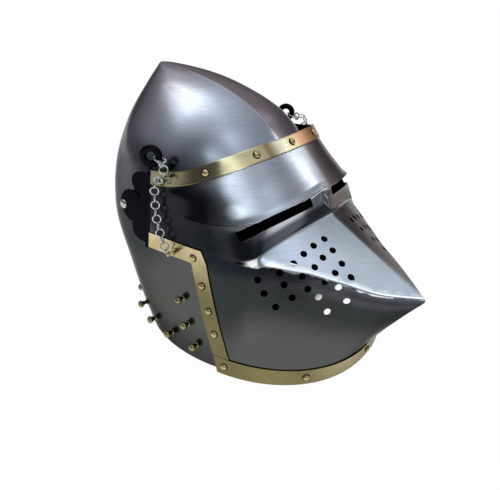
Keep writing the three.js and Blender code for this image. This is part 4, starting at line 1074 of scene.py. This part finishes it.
def chain_places(side):
    """The large link round a pin's ring, and the links from there down to the low staple."""
    outward = ring_turn((0, -math.cos(EYE_TILT), -math.sin(EYE_TILT)))
    sideways = ring_turn((side, 0, 0))
    eye = on_barrel(side, EYE_UP) + outward * (EYE_RADIUS + EYE_LINK_OUT)
    leaving = outward * math.cos(EYE_LEAVE) + sideways * math.sin(EYE_LEAVE)
    start = eye + leaving * EYE_LINK_RADIUS
    plane = VISOR_SIDE + CHAIN_OUT
    reach = plane - abs(start[0])
    route = [[side * (plane - reach * (1 - out) * 4), BARREL_BACK + back * BARREL_SLANT,
              BARREL_MIDDLE + up * BARREL_SLANT] for out, back, up in CHAIN_ROUTE]
    path = centripetal([start, *route], PATH_STEPS)
    pitch = 2 * LINK_RADIUS - 2 * LINK_WIRE + LINK_BITE
    first, length = pitch - LINK_RADIUS, path_lengths(path)[-1]
    last = round((length - first) / pitch)
    spots = along(path, [first + k * (length - first) / last for k in range(last + 1)])
    spots[:, 0] = np.clip(spots[:, 0], -plane, plane)
    links = []
    for k, spot in enumerate(spots):
        way = unit((spots[k + 1] if k < last else spot) - (spots[k - 1] if k else start))
        facing = np.array([side * LINK_FACING[0], LINK_FACING[1], 0.0])
        facing = unit(facing - way * (way @ facing))
        links.append((spot, np.cross(facing, way) if k % 2 else facing))
    return [(eye, np.cross(outward, sideways))], links


def wire_links(name, places, radius, *nodes):
    values = {"Link radius": radius * MM, "Wire radius": DRAWN_WIRE * MM, "Finish": chain_nickel}
    links = stamped(name, LINKS, places, values)
    finished(links, chain_nickel, "visor", *nodes, slot="bright_chain", degrees=60)


for label, side in SIDES:
    eye_link, links = chain_places(side)
    wire_links(f"chain_links_{label}", links, DRAWN_RADIUS, f"chain_{label}")
    wire_links(f"eye_link_{label}", eye_link, EYE_LINK_RADIUS)

# ---- hinges and pins
PIN_SIDES, RING_SIDES, BAR_SIDES = 24, 48, 16
# The pin's profile at the barrel's foot, at its head, and at the ring: radius and height from each
PIN_FOOT = [(0.5, -1.2), (1.2, -1.0), (PIN_RADIUS, -0.6)]
PIN_HEAD = [(PIN_RADIUS, 0.3), (2.1, 0.35), (2.2, 0.6), (2.2, 1.3), (1.9, 1.6), (1.5, 2.2), (1.5, 5)]
PIN_NECK = [(2.2, -1.6), (2.2, 0)]
PIN = [(radius, start + height) for start, part in (
    (-BARREL_SLANT / 2, PIN_FOOT), (BARREL_SLANT / 2, PIN_HEAD), (EYE_UP - EYE_RADIUS, PIN_NECK))
    for radius, height in part]
RING = [(EYE_RADIUS + EYE_BAR * math.cos(t), EYE_BAR * math.sin(t))
        for t in np.linspace(0, 2 * math.pi, BAR_SIDES, endpoint=False)]
for label, side in SIDES:
    pin = turned(f"ring_pin_{label}", [
        (PIN, on_barrel(side, 0), on_barrel(side, 1) - on_barrel(side, 0), PIN_SIDES),
        (RING + RING[:1], on_barrel(side, EYE_UP), ring_turn((1, 0, 0)), RING_SIDES)])
    finished(pin, hinge_black, f"pin_{label}", f"hinge_pin_{label}", slot="blackened_steel", degrees=40)

# The finishes of the solids that are shown as they are
SHOWN = {"pivot_leaf": hinge_black, "visor_leaf": hinge_black, "staple": trim_brass,
         "pivot_rivet": rivet_steel, "pivot_washer": rivet_steel}
for name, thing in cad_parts.items():
    for start, material in SHOWN.items():
        if name.startswith(start):
            for place in thing.material_slots:
                place.material = material


# ---- floor, backdrop and light
# In metres. The floor is pale, but painted dark in an oval under the helmet as painted shade, which most
# breath holes show. The oval is cut off in front, where the lowest holes show the pale floor.
FLOOR_HALF, OVAL_MIDDLE, OVAL_HALF, OVAL_FRONT = 30.0, 0.006, (0.110, 0.121), (-0.027, -0.042)
FLOOR_GLOW, FLOOR_ROUGHNESS = 0.97, 0.9
FLOOR_PAINTED_SHADE, PALE_FLOOR, WHITE = (0.03, 0.03, 0.03, 1), (0.8, 0.8, 0.8, 1), (1, 1, 1, 1)


def plain_stage():
    mesh = bpy.data.meshes.new("floor")
    turns = ((-1, -1), (1, -1), (1, 1), (-1, 1))
    mesh.from_pydata([(x * FLOOR_HALF, y * FLOOR_HALF, 0) for x, y in turns], [], [(0, 1, 2, 3)])
    floor = new_object("floor", mesh)
    material = bpy.data.materials.new("pale_floor")
    material.use_nodes = True
    tree = material.node_tree
    place = own_place(tree)
    centred = mapped(tree, place, "Location", (0, -OVAL_MIDDLE, 0))
    oval = mapped(tree, centred, "Scale", (1 / OVAL_HALF[0], 1 / OVAL_HALF[1], 1))
    away = vector_node(tree, "LENGTH", oval, output="Value")
    y = wired(tree, "ShaderNodeSeparateXYZ", {0: place}).outputs["Y"]
    outside = math_node(tree, "MAXIMUM", spread(tree, away, 0.92, 1.0), spread(tree, y, *OVAL_FRONT))
    shader = tree.nodes["Principled BSDF"]
    plug(tree, shader.inputs["Roughness"], FLOOR_ROUGHNESS)
    plug(tree, shader.inputs["Base Color"], mixed(tree, outside, FLOOR_PAINTED_SHADE, PALE_FLOOR))
    path = tree.nodes.new("ShaderNodeLightPath").outputs
    shown = math_node(tree, "MAXIMUM", path["Is Camera Ray"], path["Is Glossy Ray"])
    shown = math_node(tree, "MAXIMUM", shown, path["Is Transmission Ray"])
    share = math_node(tree, "MULTIPLY", shown, math_node(tree, "MULTIPLY", outside, FLOOR_GLOW))
    glow = wired(tree, "ShaderNodeEmission", {"Color": WHITE})
    mix = wired(tree, "ShaderNodeMixShader", {0: share, 1: shader.outputs[0], 2: glow.outputs[0]})
    plug(tree, tree.nodes["Material Output"].inputs["Surface"], mix.outputs[0])
    floor.data.materials.append(material)


# Soft lights in the sky of the studio: degrees round from the front, degrees up, half width in degrees,
# strength and colour
SOFT_LIGHTS = [
    (132, 53, 10.5, 2.1, (0.90, 0.98, 1.0)),
    (160, 67, 9, 1.3, (0.86, 0.96, 1.0)),
    (-171, 60, 10, 1.5, (0.84, 0.95, 1.0)),
    (112, 62, 17, 0.55, (0.86, 0.95, 1.0)),
    (133, 31, 9, 0.45, (1.0, 0.96, 1.0)),
    (-26, 54, 11, 1.1, (0.80, 0.92, 1.0)),
    (-48, 54, 9, 1.7, (0.78, 0.93, 1.0)),
    (-14, 33, 10, 1.7, (0.85, 0.96, 1.0)),
    (66, 30, 5, 3.2, (0.92, 0.97, 1.0)),
    (77, 24, 5, 0.7, (1.0, 0.95, 0.96)),
    (28, 62, 13, 0.8, (0.82, 0.91, 1.0)),
    (91, 30, 6, 0.7, (1.0, 0.95, 0.98)),
    (118, 24, 16, 0.28, (1.0, 0.94, 0.96)),
]
# The sky's own colour at each height
SKY = [(0.0, (0.13, 0.135, 0.145)), (0.25, (0.14, 0.15, 0.165)), (0.5, (0.24, 0.245, 0.27)),
       (0.75, (0.34, 0.36, 0.40)), (1.0, (0.5, 0.53, 0.58))]


def plain_world():
    world = bpy.data.worlds.new("studio")
    bpy.context.scene.world = world
    world.use_nodes = True
    tree = world.node_tree
    way = tree.nodes.new("ShaderNodeTexCoord").outputs["Generated"]
    height = wired(tree, "ShaderNodeSeparateXYZ", {0: way}).outputs["Z"]
    ramp = wired(tree, "ShaderNodeValToRGB", {"Fac": height})
    elements = ramp.color_ramp.elements
    while len(elements) < len(SKY):
        elements.new(0.5)
    for element, (at, colour) in zip(elements, SKY):
        element.position, element.color = at, (*colour, 1)
    total = ramp.outputs["Color"]
    for around, up, width, strength, colour in SOFT_LIGHTS:
        a, e, w = math.radians(around), math.radians(up), math.radians(width)
        aim = (math.sin(a) * math.cos(e), -math.cos(a) * math.cos(e), math.sin(e))
        off = math_node(tree, "SUBTRACT", vector_node(tree, "DOT_PRODUCT", way, aim, output="Value"), 1.0)
        lobe = math_node(tree, "EXPONENT", math_node(tree, "MULTIPLY", off, 1 / (1 - math.cos(w))))
        shine = scaled(tree, colour, math_node(tree, "MULTIPLY", lobe, strength))
        total = vector_node(tree, "ADD", total, shine)
    back = tree.nodes["Background"]
    plug(tree, back.inputs["Color"], total)
    plug(tree, back.inputs["Strength"], 1.0)


KEY_PLACE, KEY_AIM, KEY_SIZE, KEY_WATTS = (0.5, 1.1, 2.3), (0, 0, 0.12), 1.1, 2.5


def key_light():
    data = bpy.data.lights.new("key", "AREA")
    data.shape, data.size, data.size_y, data.energy = "RECTANGLE", KEY_SIZE, KEY_SIZE, KEY_WATTS
    lamp = new_object("key", data)
    lamp.location = KEY_PLACE
    lamp.rotation_euler = (Vector(KEY_AIM) - Vector(KEY_PLACE)).to_track_quat("-Z", "Y").to_euler()


plain_stage()
plain_world()
key_light()

bpy.context.scene.view_settings.view_transform = "Standard"
